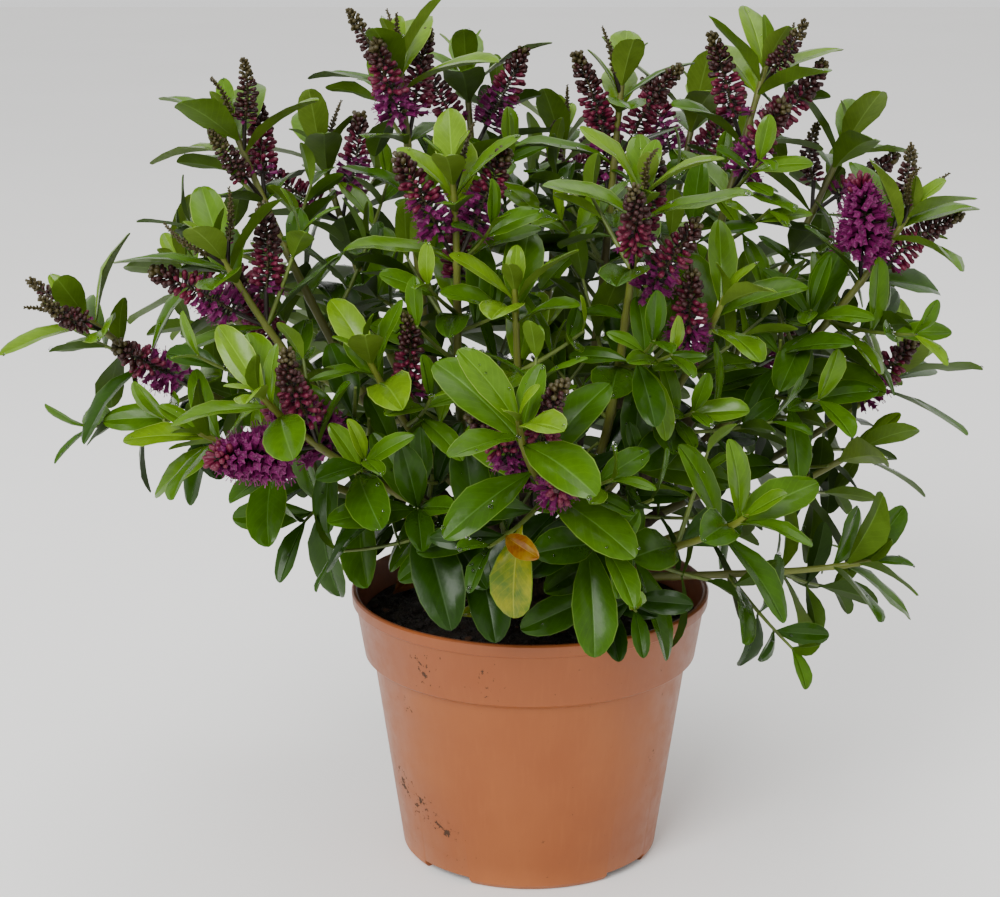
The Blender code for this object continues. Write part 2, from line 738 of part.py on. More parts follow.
def make_mass(name, grown, rings, group, finish):
    """One mass of foliage: its stem with twigs, leaves and spikes joined to it."""
    path, leafy, leaves, spikes, shoots = grown
    total = lengths_along(path)[-1]
    start = total - leafy + GAP / 2
    count = 6
    points = part_of(path, start, total, count)
    radii = [limb_radius((total - start) * (1 - i / (count - 1))) for i in range(count)]
    mass = limb(f"foliage_{name}", points, radii, rings[STEM_SIDES], group, finish)
    pieces = collection(f"pieces_{name}")
    for number, leaf in enumerate(leaves):
        add_object(f"leaf_{number}", mesh_from(leaf_build(leaf), "leaf"), pieces, None)
    for number, (foot, spike) in enumerate(spikes):
        add_object(f"spike_{number}", mesh_from(spike_build(spike), "spike"), pieces, None)
        stalk = [foot, spike.foot + spike.out * spike.length * 0.15]
        limb(f"stalk_{number}", stalk, [1.3 * MM, 1.1 * MM], rings[TWIG_SIDES], pieces, None)
    for number, (twig, small) in enumerate(shoots):
        limb(f"twig_{number}", twig, [1.7 * MM, 1.4 * MM, 1.0 * MM], rings[TWIG_SIDES], pieces, None)
        for count, leaf in enumerate(small):
            add_object(f"small_{number}_{count}", mesh_from(leaf_build(leaf), "leaf"), pieces, None)
    join_pieces(mass, pieces)
    keep_one_shell(mass)
    thin_facets(mass)
    return mass


def shells_of(build):
    """The faces of each separate shell, the largest shell first."""
    waiting = set(build.faces)
    shells = []
    while waiting:
        shell = [waiting.pop()]
        for face in shell:
            for edge in face.edges:
                beyond = [other for other in edge.link_faces if other in waiting]
                waiting.difference_update(beyond)
                shell += beyond
        shells.append(shell)
    return sorted(shells, key=len, reverse=True)


def is_sound(mesh):
    """Splits a mesh's faces into triangles. True if it is one closed shell that touches itself nowhere."""
    build = bmesh.new()
    build.from_mesh(mesh)
    bmesh.ops.triangulate(build, faces=build.faces)
    build.to_mesh(mesh)
    bmesh.ops.remove_doubles(build, verts=build.verts, dist=0.00001)
    smooth = all(edge.is_manifold for edge in build.edges) and all(vert.is_manifold for vert in build.verts)
    single = len(shells_of(build)) == 1
    build.free()
    return smooth and single


def evaluated_mesh(thing):
    graph = bpy.context.evaluated_depsgraph_get()
    return bpy.data.meshes.new_from_object(thing.evaluated_get(graph))


def join_pieces(mass, pieces):
    """Joins a collection's pieces to a mass with one union, and removes the collection."""
    union = mass.modifiers.new("Join", "BOOLEAN")
    union.operation = "UNION"
    union.operand_type = "COLLECTION"
    union.collection = pieces
    union.solver = "MANIFOLD"
    joined = evaluated_mesh(mass)
    mass.modifiers.clear()
    mass.data = joined
    for piece in list(pieces.objects):
        bpy.data.objects.remove(piece)
    bpy.data.collections.remove(pieces)


def keep_one_shell(mass):
    """Fills sealed hollows, and drops scraps that joined nothing."""
    build = bmesh.new()
    build.from_mesh(mass.data)
    for shell in shells_of(build)[1:]:
        print(mass.name, "loses a shell of", len(shell), "faces")
        bmesh.ops.delete(build, geom=shell, context="FACES")
    build.to_mesh(mass.data)
    build.free()


def thin_facets(mass):
    """Thins a joined mass's facets, less strongly where that would pinch off a leaf."""
    for kept in KEPT_FACETS:
        thin = mass.modifiers.new("Thin", "DECIMATE")
        thin.ratio = kept
        thinned = evaluated_mesh(mass)
        mass.modifiers.clear()
        if is_sound(thinned):
            mass.data = thinned
            return


def main():
    clear_scene()
    shrub = collection("hebe_shrub")
    cutters = collection("cutters")
    plastic = material("terracotta_plastic", (0.52, 0.20, 0.09), 0.45)
    peat = material("potting_soil", (0.02, 0.015, 0.012), 0.95)
    bark = material("hebe_bark", (0.16, 0.11, 0.05), 0.8)
    green = material("hebe_foliage", (0.07, 0.19, 0.02), 0.4)

    pot = make_pot(shrub, cutters, plastic)
    soil = make_soil(shrub, peat)
    rings = {n: ring_profile(n, cutters) for n in (TRUNK_SIDES, BOUGH_SIDES, STEM_SIDES, TWIG_SIDES)}
    make_trunk(rings[TRUNK_SIDES], shrub, bark)
    bpy.context.view_layer.update()
    for name, grown in grow([pot, soil]).items():
        make_bough(name, grown[0], grown[1], rings[BOUGH_SIDES], shrub, bark)
        make_mass(name, grown, rings, shrub, green)


main()
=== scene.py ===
# A hebe shrub in flower in its round plastic nursery pot, dressed for rendering.
# Metres, +Z up. The origin is the middle of the pot's flat underside, and -Y is the front.

import math
import random
from collections import namedtuple

import bmesh
import bpy
import numpy as np
from mathutils import Matrix, Vector
from mathutils.bvhtree import BVHTree
from mathutils.geometry import interpolate_bezier, intersect_point_line


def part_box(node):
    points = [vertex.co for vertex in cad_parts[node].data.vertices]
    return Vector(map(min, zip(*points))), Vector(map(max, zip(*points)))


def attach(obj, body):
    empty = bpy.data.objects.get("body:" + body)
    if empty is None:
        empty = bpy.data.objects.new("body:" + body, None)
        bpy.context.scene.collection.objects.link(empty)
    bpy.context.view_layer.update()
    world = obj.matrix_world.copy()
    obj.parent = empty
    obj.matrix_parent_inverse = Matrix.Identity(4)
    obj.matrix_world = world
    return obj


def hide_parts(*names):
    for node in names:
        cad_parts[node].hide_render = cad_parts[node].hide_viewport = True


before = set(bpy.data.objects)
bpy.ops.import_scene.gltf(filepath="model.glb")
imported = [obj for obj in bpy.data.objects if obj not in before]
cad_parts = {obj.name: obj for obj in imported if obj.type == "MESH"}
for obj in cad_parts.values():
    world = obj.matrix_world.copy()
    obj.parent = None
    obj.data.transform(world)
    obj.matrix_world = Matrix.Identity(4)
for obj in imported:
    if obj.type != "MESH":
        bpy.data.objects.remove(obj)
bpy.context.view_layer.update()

mm = 0.001
up = Vector((0, 0, 1))
gap = 0.3 * mm  # clear distance between neighbouring solids in the source


# Small helpers

def deselectAll():
    if bpy.context.object and bpy.context.object.mode != "OBJECT":
        bpy.ops.object.mode_set(mode="OBJECT")
    bpy.ops.object.select_all(action="DESELECT")


def pick(piece):
    deselectAll()
    piece.select_set(True)
    bpy.context.view_layer.objects.active = piece


def editAll(piece):
    pick(piece)
    bpy.ops.object.mode_set(mode="EDIT")
    bpy.ops.mesh.select_all(action="SELECT")


def applyAll(piece):
    pick(piece)
    for modifier in list(piece.modifiers):
        bpy.ops.object.modifier_apply(modifier=modifier.name)


def smooth(piece, degrees):
    pick(piece)
    bpy.ops.object.shade_smooth_by_angle(angle=math.radians(degrees))


def settle(piece):
    # leaves the object at the origin, unturned and unscaled, with its place in its mesh
    pick(piece)
    bpy.ops.object.transform_apply(location=True, rotation=True, scale=True)


def mix(a, b, share):
    return a + (b - a) * share


def sortFaces(piece):
    # extruding and merging leave the faces in a chance order, so they are put in a fixed one
    mesh = piece.data
    points = [vert.co[:] for vert in mesh.vertices]
    faces = []
    for face in mesh.polygons:
        corners = tuple(face.vertices)
        first = corners.index(min(corners))
        faces.append(corners[first:] + corners[:first])
    mesh.clear_geometry()
    mesh.from_pydata(points, [], sorted(faces))


def extrudeRings(rings, radius, height):
    # carries the selected ring on along Z, through steps of (radius, height)
    for nextRadius, nextHeight in rings:
        move = (0, 0, nextHeight - height)
        bpy.ops.mesh.extrude_region_move(TRANSFORM_OT_translate={"value": move})
        scale = nextRadius / radius
        bpy.ops.transform.resize(value=(scale, scale, 1), center_override=(0, 0, nextHeight))
        radius, height = nextRadius, nextHeight


def faceOutwards():
    # leaves edit mode with every face turned outwards
    bpy.ops.mesh.select_all(action="SELECT")
    bpy.ops.mesh.normals_make_consistent(inside=False)
    bpy.ops.object.mode_set(mode="OBJECT")


# Materials

def linearColour(code):
    if not isinstance(code, str):  # a grey level
        return (code, code, code, 1)
    parts = [int(code[i:i + 2], 16) / 255 for i in (1, 3, 5)]
    return (*[p / 12.92 if p <= 0.04045 else ((p + 0.055) / 1.055) ** 2.4 for p in parts], 1)


def addNode(tree, kind, inputs=None, out=0, stops=(), **settings):
    # adds a node, sets or links its inputs, and gives the output asked for. stops are a colour
    # ramp's, as (position, colour code or grey level)
    node = tree.nodes.new("ShaderNode" + kind)
    for name, value in settings.items():
        setattr(node, name, value)
    for name, value in (inputs or {}).items():
        if isinstance(value, bpy.types.NodeSocket):
            tree.links.new(value, node.inputs[name])
        else:
            node.inputs[name].default_value = linearColour(value) if isinstance(value, str) else value
    for number, (position, colour) in enumerate(stops):
        bar = node.color_ramp.elements
        while len(bar) < len(stops):
            bar.new(0.5)
        bar[number].position = position
        bar[number].color = linearColour(colour)
    return node.outputs[out]


def startMaterial(name, **sockets):
    made = bpy.data.materials.new(name)
    made.use_nodes = True
    shader = made.node_tree.nodes["Principled BSDF"]
    for socket, value in sockets.items():
        shader.inputs[socket.replace("_", " ")].default_value = value
    return made, made.node_tree


def wire(tree, **sockets):
    # links outputs to the shader's sockets
    for socket, output in sockets.items():
        tree.links.new(output, tree.nodes["Principled BSDF"].inputs[socket.replace("_", " ")])


# Pot: injection-moulded polypropylene coloured as terracotta. It has a satin sheen, a faint
# unevenness where the melt cooled, soil splashed on it, and fine rubbed marks.

potSizes = {
    "height": 130 * mm,
    "rimRadius": 85 * mm,
    "lipHeight": 6 * mm,
    "lipStep": 1.2 * mm,
    "bandFootHeight": 99 * mm,
    "bandFootRadius": 79 * mm,
    "ledgeDrop": 2.8 * mm,
    "bodyTopRadius": 74.7 * mm,
    "footRadius": 61 * mm,
    "footRounding": 2.5 * mm,
    "wall": 1.6 * mm,
    "sides": 144,
    "slotAngles": (229, 319, 49, 139),  # drain slots in the foot
    "slotSize": (28 * mm, 14 * mm, 8 * mm),
    "slotTop": 4 * mm,
    "edge": 0.8 * mm,  # rounding of the lip and the band
    "pole": 1.5 * mm,  # first ring round the axis
    "body": "#874a20",
    "patch": "#7a3d17",
    # darker than the body: painted shade from the foliage that hangs over the band
    "band": "#81451f",
    "foot": "#96562a",
    "dirt": "#3a2412",
    "streak": "#b0713c",
    "splashes": (  # middle and reach in millimetres, and how thick
        ((-58, -30, 43), 14, 0.17), ((-51, -41, 35), 13, 0.155), ((-41, -50, 27), 12, 0.145),
        ((-34, -54, 12), 9, 0.11), ((-50, -64, 112), 17, 0.10), ((-59, -44, 86), 9, 0.11),
        ((-22, -79, 103), 6, 0.12), ((52, -40, 60), 9, 0.11), ((-20, -78, 112), 14, 0.08),
    ),
}


def lathe(name, outline, sides):
    # outline runs as (radius, height) from one pole to the other
    radius, height = outline[0]
    deselectAll()
    bpy.ops.mesh.primitive_circle_add(vertices=sides, radius=radius, location=(0, 0, height))
    piece = bpy.context.object
    piece.name = name
    settle(piece)
    editAll(piece)
    bpy.ops.mesh.extrude_region_move()
    bpy.ops.mesh.merge(type="CENTER")  # closes the first pole
    bpy.ops.object.mode_set(mode="OBJECT")
    for vert in piece.data.vertices:
        vert.select = vert.co.xy.length > radius / 2
    bpy.ops.object.mode_set(mode="EDIT")
    extrudeRings(outline[1:], radius, height)
    bpy.ops.mesh.extrude_region_move()
    bpy.ops.mesh.merge(type="CENTER")  # and the last
    faceOutwards()
    sortFaces(piece)
    return piece


def wallRadius(height):
    top = potSizes["bandFootHeight"] - potSizes["ledgeDrop"]
    return mix(potSizes["footRadius"], potSizes["bodyTopRadius"], height / top)


def potOutline():
    s = potSizes
    wall, height, rim, bandFoot = s["wall"], s["height"], s["rimRadius"], s["bandFootRadius"]
    ledge = s["bandFootHeight"] - s["ledgeDrop"]
    bandTop = height - s["lipHeight"]
    edge, pole, rounding = s["edge"], s["pole"], s["footRounding"]
    return [
        (pole, wall),
        (wallRadius(wall) - wall - 2 * mm, wall),
        (wallRadius(3 * mm) - wall, wall + 2 * mm),
        (s["bodyTopRadius"] - wall, ledge + wall),
        (bandFoot - wall, s["bandFootHeight"] + wall),
        (rim - s["lipStep"] - wall, height - edge),
        (rim - s["lipStep"] - wall + edge, height),
        (rim - edge, height),
        (rim, height - edge),
        (rim - edge / 2, bandTop + edge / 2),
        (rim - edge, bandTop),
        (rim - s["lipStep"] - edge, bandTop - edge / 2),
        (bandFoot, s["bandFootHeight"]),
        (bandFoot - edge, s["bandFootHeight"] - edge),
        (s["bodyTopRadius"], ledge),
        (wallRadius(60 * mm), 60 * mm),
        (wallRadius(rounding), rounding),
        (wallRadius(0) - rounding / 2, 0.5 * mm),
        (wallRadius(0) - rounding, 0),
        (pole, 0),
    ]


def potMaterial():
    made, tree = startMaterial("mouldedTerracottaPolypropylene", IOR=1.49, Specular_IOR_Level=0.38)
    place = addNode(tree, "TexCoord", out="Object")
    height = addNode(tree, "SeparateXYZ", {0: place}, "Z")
    level = addNode(tree, "Math", {0: height, 1: potSizes["height"]}, operation="DIVIDE")
    foot, body, band = potSizes["foot"], potSizes["body"], potSizes["band"]
    # colour by height: lighter at the foot, and darker at the band, which is painted shade from the
    # foliage above it
    steps = ((0.0, foot), (0.10, body), (0.72, body), (0.78, band), (1.0, band))
    byHeight = addNode(tree, "ValToRGB", {0: level}, stops=steps)
    grain = {"Vector": place, "Roughness": 0.55}
    clouds = addNode(tree, "TexNoise", {**grain, "Scale": 1 / (45 * mm), "Detail": 4})
    cloudy = addNode(tree, "ValToRGB", {0: clouds}, stops=((0.35, 0.0), (0.75, 0.75)))
    colour = addNode(tree, "Mix", {0: cloudy, 6: byHeight, 7: potSizes["patch"]}, 2, data_type="RGBA")
    # fine upright flow marks of the moulding, 2 mm apart round the wall
    drawn = addNode(tree, "Mapping", {"Vector": place, "Scale": (1, 1, 0.06)})
    flow = addNode(
        tree, "TexNoise", {"Vector": drawn, "Scale": 1 / (2.2 * mm), "Detail": 2, "Roughness": 0.5}
    )
    streaks = addNode(tree, "ValToRGB", {0: flow}, stops=((0.5, 0.0), (0.85, 0.07)))
    colour = addNode(tree, "Mix", {0: streaks, 6: colour, 7: potSizes["streak"]}, 2, data_type="RGBA")
    # soil splashes: a trail of specks low on the left of the front, and a few more by the band
    near = 0.0
    for spot, reach, thick in potSizes["splashes"]:
        away = addNode(
            tree, "VectorMath", {0: place, 1: Vector(spot) * mm}, "Value", operation="DISTANCE"
        )
        share = addNode(tree, "Math", {0: away, 1: reach * mm}, operation="DIVIDE")
        shade = addNode(tree, "ValToRGB", {0: share}, stops=((0.2, thick), (1.0, 0.0)))
        near = addNode(tree, "Math", {0: shade, 1: near}, operation="MAXIMUM")
    specks = addNode(
        tree, "TexNoise", {"Vector": place, "Scale": 1 / (3.1 * mm), "Detail": 5, "Roughness": 0.68}
    )
    specks = addNode(tree, "Math", {0: specks, 1: near}, operation="ADD")
    splash = addNode(tree, "ValToRGB", {0: specks}, stops=((0.685, 0.0), (0.71, 1.0)))
    colour = addNode(tree, "Mix", {0: splash, 6: colour, 7: potSizes["dirt"]}, 2, data_type="RGBA")
    rubbed = addNode(
        tree, "TexNoise", {"Vector": place, "Scale": 1 / (9 * mm), "Detail": 5, "Roughness": 0.6}
    )
    rough = addNode(tree, "ValToRGB", {0: rubbed}, stops=((0.35, 0.36), (0.7, 0.5)))
    rough = addNode(
        tree, "Mix", {0: splash, 6: rough, 7: (0.85, 0.85, 0.85, 1)}, 2, data_type="RGBA"
    )
    uneven = addNode(tree, "TexNoise", {**grain, "Scale": 1 / (6 * mm), "Detail": 3})
    relief = addNode(tree, "Bump", {"Height": uneven, "Distance": 0.05 * mm, "Strength": 0.5})
    wire(tree, Base_Color=colour, Roughness=rough, Normal=relief)
    return made


def makePot():
    pot = lathe("nurseryPot", potOutline(), potSizes["sides"])
    for angle in potSizes["slotAngles"]:
        turn, foot = math.radians(angle), potSizes["footRadius"]
        middle = potSizes["slotTop"] - potSizes["slotSize"][2] / 2
        place = (foot * math.cos(turn), foot * math.sin(turn), middle)
        deselectAll()
        bpy.ops.mesh.primitive_cube_add(size=1, location=place, rotation=(0, 0, turn + math.pi / 2))
        cutter = bpy.context.object
        cutter.scale = potSizes["slotSize"]
        cut = pot.modifiers.new("slot", "BOOLEAN")
        cut.operation = "DIFFERENCE"
        cut.object = cutter
        applyAll(pot)
        bpy.data.objects.remove(cutter)
    soft = pot.modifiers.new("edges", "BEVEL")
    soft.width = 0.35 * mm
    soft.segments = 2
    soft.limit_method = "ANGLE"
    soft.angle_limit = math.radians(28)
    applyAll(pot)
    smooth(pot, 40)
    pot.data.materials.append(potMaterial())
    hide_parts("pot")
    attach(pot, "root")


# Soil: dark peat compost, kept moist, with crumbs on top, bits of bark and fallen leaf

soilSizes = {
    "height": 116 * mm,
    "mound": 3 * mm,
    "moundRadius": 22 * mm,
    "rings": 34,
    "lumps": ((9 * mm, 4.5 * mm), (3.4 * mm, 2.2 * mm)),  # width and height
    "crumbs": 1500,
    "crumbSize": (0.5 * mm, 1.8 * mm),
    "chips": 90,
    "chipSize": (1.5 * mm, 4.5 * mm),
}


def soilEdge():
    ledgeTop = potSizes["bandFootHeight"] + potSizes["wall"]  # inside, where the band begins
    rise = (soilSizes["height"] - ledgeTop) / (potSizes["height"] - ledgeTop)
    rim = potSizes["rimRadius"] - potSizes["lipStep"]
    return mix(potSizes["bandFootRadius"], rim, rise) - potSizes["wall"] - 2 * gap


def soilTop(radius):
    # height of the smooth soil surface at a distance from the middle
    share = (radius - soilSizes["moundRadius"]) / (soilEdge() - soilSizes["moundRadius"])
    return soilSizes["height"] + soilSizes["mound"] * (1 - min(max(share, 0), 1))


def soilMaterial(name, dark, pale, size):
    # moist peat: nearly black fibre with brown specks, and wet enough to shine a little
    made, tree = startMaterial(name, IOR=1.4)
    place = addNode(tree, "TexCoord", out="Object")
    fibre = {"Vector": place, "Detail": 5, "Roughness": 0.7}
    specks = addNode(tree, "TexNoise", {**fibre, "Scale": 1 / size})
    colour = addNode(tree, "ValToRGB", {0: specks}, stops=((0.35, dark), (0.75, pale)))
    damp = addNode(
        tree, "TexNoise", {"Vector": place, "Scale": 1 / (7 * mm), "Detail": 2, "Roughness": 0.55}
    )
    wet = addNode(tree, "ValToRGB", {0: damp}, stops=((0.35, 0.42), (0.65, 0.9)))
    lumps = addNode(tree, "TexNoise", {**fibre, "Scale": 1 / (size * 0.6)})
    relief = addNode(tree, "Bump", {"Height": lumps, "Distance": 0.6 * mm, "Strength": 1})
    wire(tree, Base_Color=colour, Roughness=wet, Normal=relief)
    return made


def makeSoil():
    edge, steps = soilEdge(), soilSizes["rings"]
    radii = [mix(2 * mm, edge, i / steps) for i in range(steps + 1)]
    outline = [(radius, soilTop(radius)) for radius in radii]
    ledge = potSizes["bandFootHeight"] - potSizes["ledgeDrop"]
    inset = potSizes["wall"] + 2 * gap
    outline += [
        (potSizes["bandFootRadius"] - inset, potSizes["bandFootHeight"] + potSizes["wall"]),
        (potSizes["bodyTopRadius"] - inset, ledge + potSizes["wall"]),
        (wallRadius(5 * mm) - inset, 5 * mm),
        (wallRadius(5 * mm) - inset - 4 * mm, 2.2 * mm),
        (2 * mm, 2.2 * mm),
    ]
    soil = lathe("peatCompost", outline, 150)
    group = soil.vertex_groups.new(name="top")
    for vert in soil.data.vertices:
        inner = min(1, (edge - vert.co.xy.length) / (5 * mm))
        if vert.co.z > soilSizes["height"] - 2 * mm and inner > 0:
            group.add([vert.index], inner, "REPLACE")
    for width, height in soilSizes["lumps"]:
        texture = bpy.data.textures.new("lumps", "CLOUDS")
        texture.noise_scale = width
        texture.noise_depth = 2
        lumps = soil.modifiers.new("lumps", "DISPLACE")
        lumps.texture = texture
        lumps.direction = "Z"
        lumps.strength = height
        lumps.mid_level = 0.55
        lumps.vertex_group = "top"
    applyAll(soil)
    smooth(soil, 60)
    soil.data.materials.append(soilMaterial("moistPeat", "#070605", "#2b1d12", 1.6 * mm))
    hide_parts("soil")
    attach(soil, "root")


# Joined meshes: one modelled shape is copied many times as arrays of points

Shape = namedtuple("Shape", "points faces slots")


def shapeOf(piece, slotOf):
    # reads a modelled piece into arrays and removes it. slotOf gives a face's material by its middle
    sortFaces(piece)
    points = np.array([vert.co[:] for vert in piece.data.vertices])
    faces = [tuple(face.vertices) for face in piece.data.polygons]
    slots = [slotOf(points[list(face)].mean(axis=0)) for face in faces]
    bpy.data.objects.remove(piece)
    return Shape(points, faces, np.array(slots))


def joinCopies(name, shape, copies, materials, angle=45, marks=None):
    # copies are (points, first slot) of the same shape
    count = len(shape.points)
    sizes = np.array([len(face) for face in shape.faces])
    corners = np.concatenate([np.array(face) for face in shape.faces])
    points = np.concatenate([placed for placed, _ in copies])
    loops = np.concatenate([corners + count * i for i in range(len(copies))])
    totals = np.tile(sizes, len(copies))
    slots = np.concatenate([shape.slots + first for _, first in copies])
    piece = pieceFromArrays(name, points, loops, totals, slots, materials, angle)
    if marks is not None:
        blade = piece.data.attributes.new("blade", "FLOAT_VECTOR", "POINT")
        blade.data.foreach_set("vector", np.tile(marks, (len(copies), 1)).astype(np.float32).ravel())
    return piece


def pieceFromArrays(name, points, loops, totals, slots, materials, angle=45):
    mesh = bpy.data.meshes.new(name)
    mesh.vertices.add(len(points))
    mesh.vertices.foreach_set("co", np.asarray(points, dtype=np.float32).ravel())
    mesh.loops.add(len(loops))
    mesh.loops.foreach_set("vertex_index", np.asarray(loops, dtype=np.int32))
    mesh.polygons.add(len(totals))
    starts = np.concatenate([[0], np.cumsum(totals)[:-1]])
    mesh.polygons.foreach_set("loop_start", np.asarray(starts, dtype=np.int32))
    mesh.polygons.foreach_set("material_index", np.asarray(slots, dtype=np.int32))
    for material in materials:
        mesh.materials.append(material)
    mesh.update(calc_edges=True)
    mesh.validate()
    piece = bpy.data.objects.new(name, mesh)
    bpy.context.scene.collection.objects.link(piece)
    smooth(piece, angle)
    return piece


def modelCrumb(name, stretch, seed):
    deselectAll()
    bpy.ops.mesh.primitive_ico_sphere_add(subdivisions=1, radius=1)
    crumb = bpy.context.object
    crumb.name = name
    editAll(crumb)
    bpy.ops.transform.resize(value=stretch)
    bpy.ops.transform.vertex_random(offset=0.35, seed=seed)
    bpy.ops.object.mode_set(mode="OBJECT")
    return shapeOf(crumb, lambda middle: 0)


def scatterCrumbs(name, shape, count, sizes, material, seed, lift):
    draw = random.Random(seed)
    copies = []
    for _ in range(count):
        radius = (soilEdge() - 2.5 * mm) * math.sqrt(draw.random())
        heading = draw.uniform(0, 2 * math.pi)
        size = mix(*sizes, draw.random() ** 2.2)
        turn = Matrix.Rotation(draw.uniform(0, 6.3), 3, "Z")
        turn = turn @ Matrix.Rotation(draw.gauss(0, 0.45), 3, "X")
        height = soilTop(radius) + lift * size
        spot = Vector((radius * math.cos(heading), radius * math.sin(heading), height))
        placed = shape.points @ np.array(turn).T * size + np.array(spot)
        copies.append((placed, 0))
    piece = joinCopies(name, shape, copies, [material], 30)
    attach(piece, "root")


def makeCrumbs():
    crumb = modelCrumb("crumb", (1, 0.8, 0.7), 3)
    black = soilMaterial("peatCrumb", "#090705", "#241810", 1.2 * mm)
    scatterCrumbs("peatCrumbs", crumb, soilSizes["crumbs"], soilSizes["crumbSize"], black, 11, 0.4)
    chip = modelCrumb("chip", (1, 0.45, 0.22), 8)
    brown = soilMaterial("barkChip", "#24150b", "#5b3a20", 1.5 * mm)
    scatterCrumbs("barkChips", chip, soilSizes["chips"], soilSizes["chipSize"], brown, 12, 0.6)


# The leading shoots: the tip in millimetres, the turn of the leaf pairs in degrees, how strongly
# the tip turns upwards, the side shoots, the number the chances are drawn from, and the flower
# spikes as (pair, side, kind)

Leader = namedtuple("Leader", "tip turn lift shoots draw spikes")
Leaf = namedtuple("Leaf", "root out face length width arch small")
Spike = namedtuple("Spike", "foot out length radius")
Solid = namedtuple("Solid", "tree centre radius")

leaders = {
    "front_low": Leader(
        (-7, -165, 255), 40, 0.5, 2, 2401, ((4, 0, "colouring"), (5, 1, "opening"), (5, 0, "opening"))
    ),
    "front_tall": Leader(
        (-35, -60, 337), 0, 0.6, 3, 402, ((4, 0, "opening"), (4, 1, "opening"), (5, 0, "colouring"))
    ),
    "front_right_tall": Leader(
        (47, -85, 337), 80, 0.5, 3, 1403, ((4, 0, "colouring"), (5, 1, "opening"), (4, 1, "colouring"))
    ),
    "left_front": Leader(
        (-115, -125, 257), 10, 0.4, 2, 5404, ((4, 0, "colouring"), (4, 1, "bloom"), (5, 0, "bloom"))
    ),
    "left_outer": Leader(
        (-205, -30, 271), 20, 0.3, 1, 405, ((3, 0, "bud"), (3, 1, "bud"), (5, 1, "opening"))
    ),
    "left_high": Leader(
        (-138, 12, 351), 70, 0.6, 2, 2406, ((3, 0, "bud"), (4, 0, "colouring"), (4, 1, "bud"))
    ),
    "left_mid": Leader(
        (-137, -60, 304), 0, 0.5, 2, 407, ((4, 0, "colouring"), (4, 1, "opening"), (5, 0, "colouring"))
    ),
    "left_low": Leader((-148, -62, 222), 75, 0.0, 2, 408, ()),
    "top_left": Leader(
        (-61, 10, 381), 70, 0.7, 3, 1409, ((4, 0, "colouring"), (4, 1, "opening"), (3, 1, "bud"))
    ),
    "top_left_back": Leader((-31, 85, 366), 0, 0.7, 3, 410, ((4, 0, "opening"), (4, 1, "colouring"))),
    "top_mid": Leader(
        (42, 20, 370), 0, 0.7, 3, 4411, ((4, 0, "colouring"), (4, 1, "colouring"), (5, 0, "opening"))
    ),
    "top_right": Leader(
        (108, 15, 378), 30, 0.5, 3, 412,
        ((3, 0, "bud"), (4, 0, "colouring"), (4, 1, "colouring"), (5, 1, "opening")),
    ),
    "right_back_high": Leader((155, 80, 333), 5, 0.5, 2, 413, ((4, 0, "colouring"), (4, 1, "bud"))),
    "right_outer": Leader(
        (171, -22, 316), 30, 0.5, 2, 414, ((4, 0, "colouring"), (4, 1, "bloom"), (3, 1, "bud"))
    ),
    "right_mid": Leader((182, 38, 229), 60, 0.3, 2, 5415, ((4, 1, "opening"),)),
    "right_inner": Leader((161, 10, 198), 0, 0.2, 2, 416, ()),
    "right_front": Leader((91, -110, 198), 50, 0.3, 2, 1417, ()),
    "right_low": Leader((156, -40, 155), 20, 0.1, 2, 1418, ()),
    "inner_front": Leader((-8, -78, 290), 80, 0.5, 3, 419, ()),
    "inner_left": Leader((-72, -80, 262), 20, 0.5, 3, 420, ((4, 0, "colouring"),)),
    "inner_right": Leader((84, -62, 284), 25, 0.5, 3, 421, ((4, 1, "opening"),)),
    "back_left": Leader((-105, 105, 326), 10, 0.6, 2, 1422, ((4, 0, "opening"), (4, 1, "colouring"))),
    "back_left_outer": Leader(
        (-174, 85, 270), 70, 0.4, 2, 1423, ((4, 0, "colouring"), (5, 1, "opening"))
    ),
    "back_mid": Leader((19, 160, 324), 70, 0.5, 2, 1424, ((4, 0, "opening"), (4, 1, "bud"))),
    "back_right": Leader((85, 125, 345), 0, 0.6, 2, 425, ((4, 0, "colouring"), (4, 1, "opening"))),
    "back_right_low": Leader((135, 130, 235), 85, 0.4, 2, 426, ((4, 0, "opening"),)),
    "back_low_left": Leader((-100, 165, 225), 60, 0.3, 2, 427, ((4, 0, "colouring"),)),
    "back_low_right": Leader((49, 185, 217), 0, 0.5, 2, 2428, ()),
}

trunkSizes = {
    "height": 42 * mm,
    "radius": 9.5 * mm,
    "topRadius": 7.5 * mm,
    "flare": 14.5 * mm,
    "lean": Vector((1.5 * mm, -2.5 * mm, 0)),
}

limbSizes = {
    "tipRadius": 1.2 * mm,
    "taper": 0.0041,  # times the square root of the distance to the tip
    "rise": math.radians(32),  # slope at which a bough leaves the trunk
    "tiers": 4,
    "steps": 24,
    "foliageShare": 0.68,
    "foliageLength": 140 * mm,
}

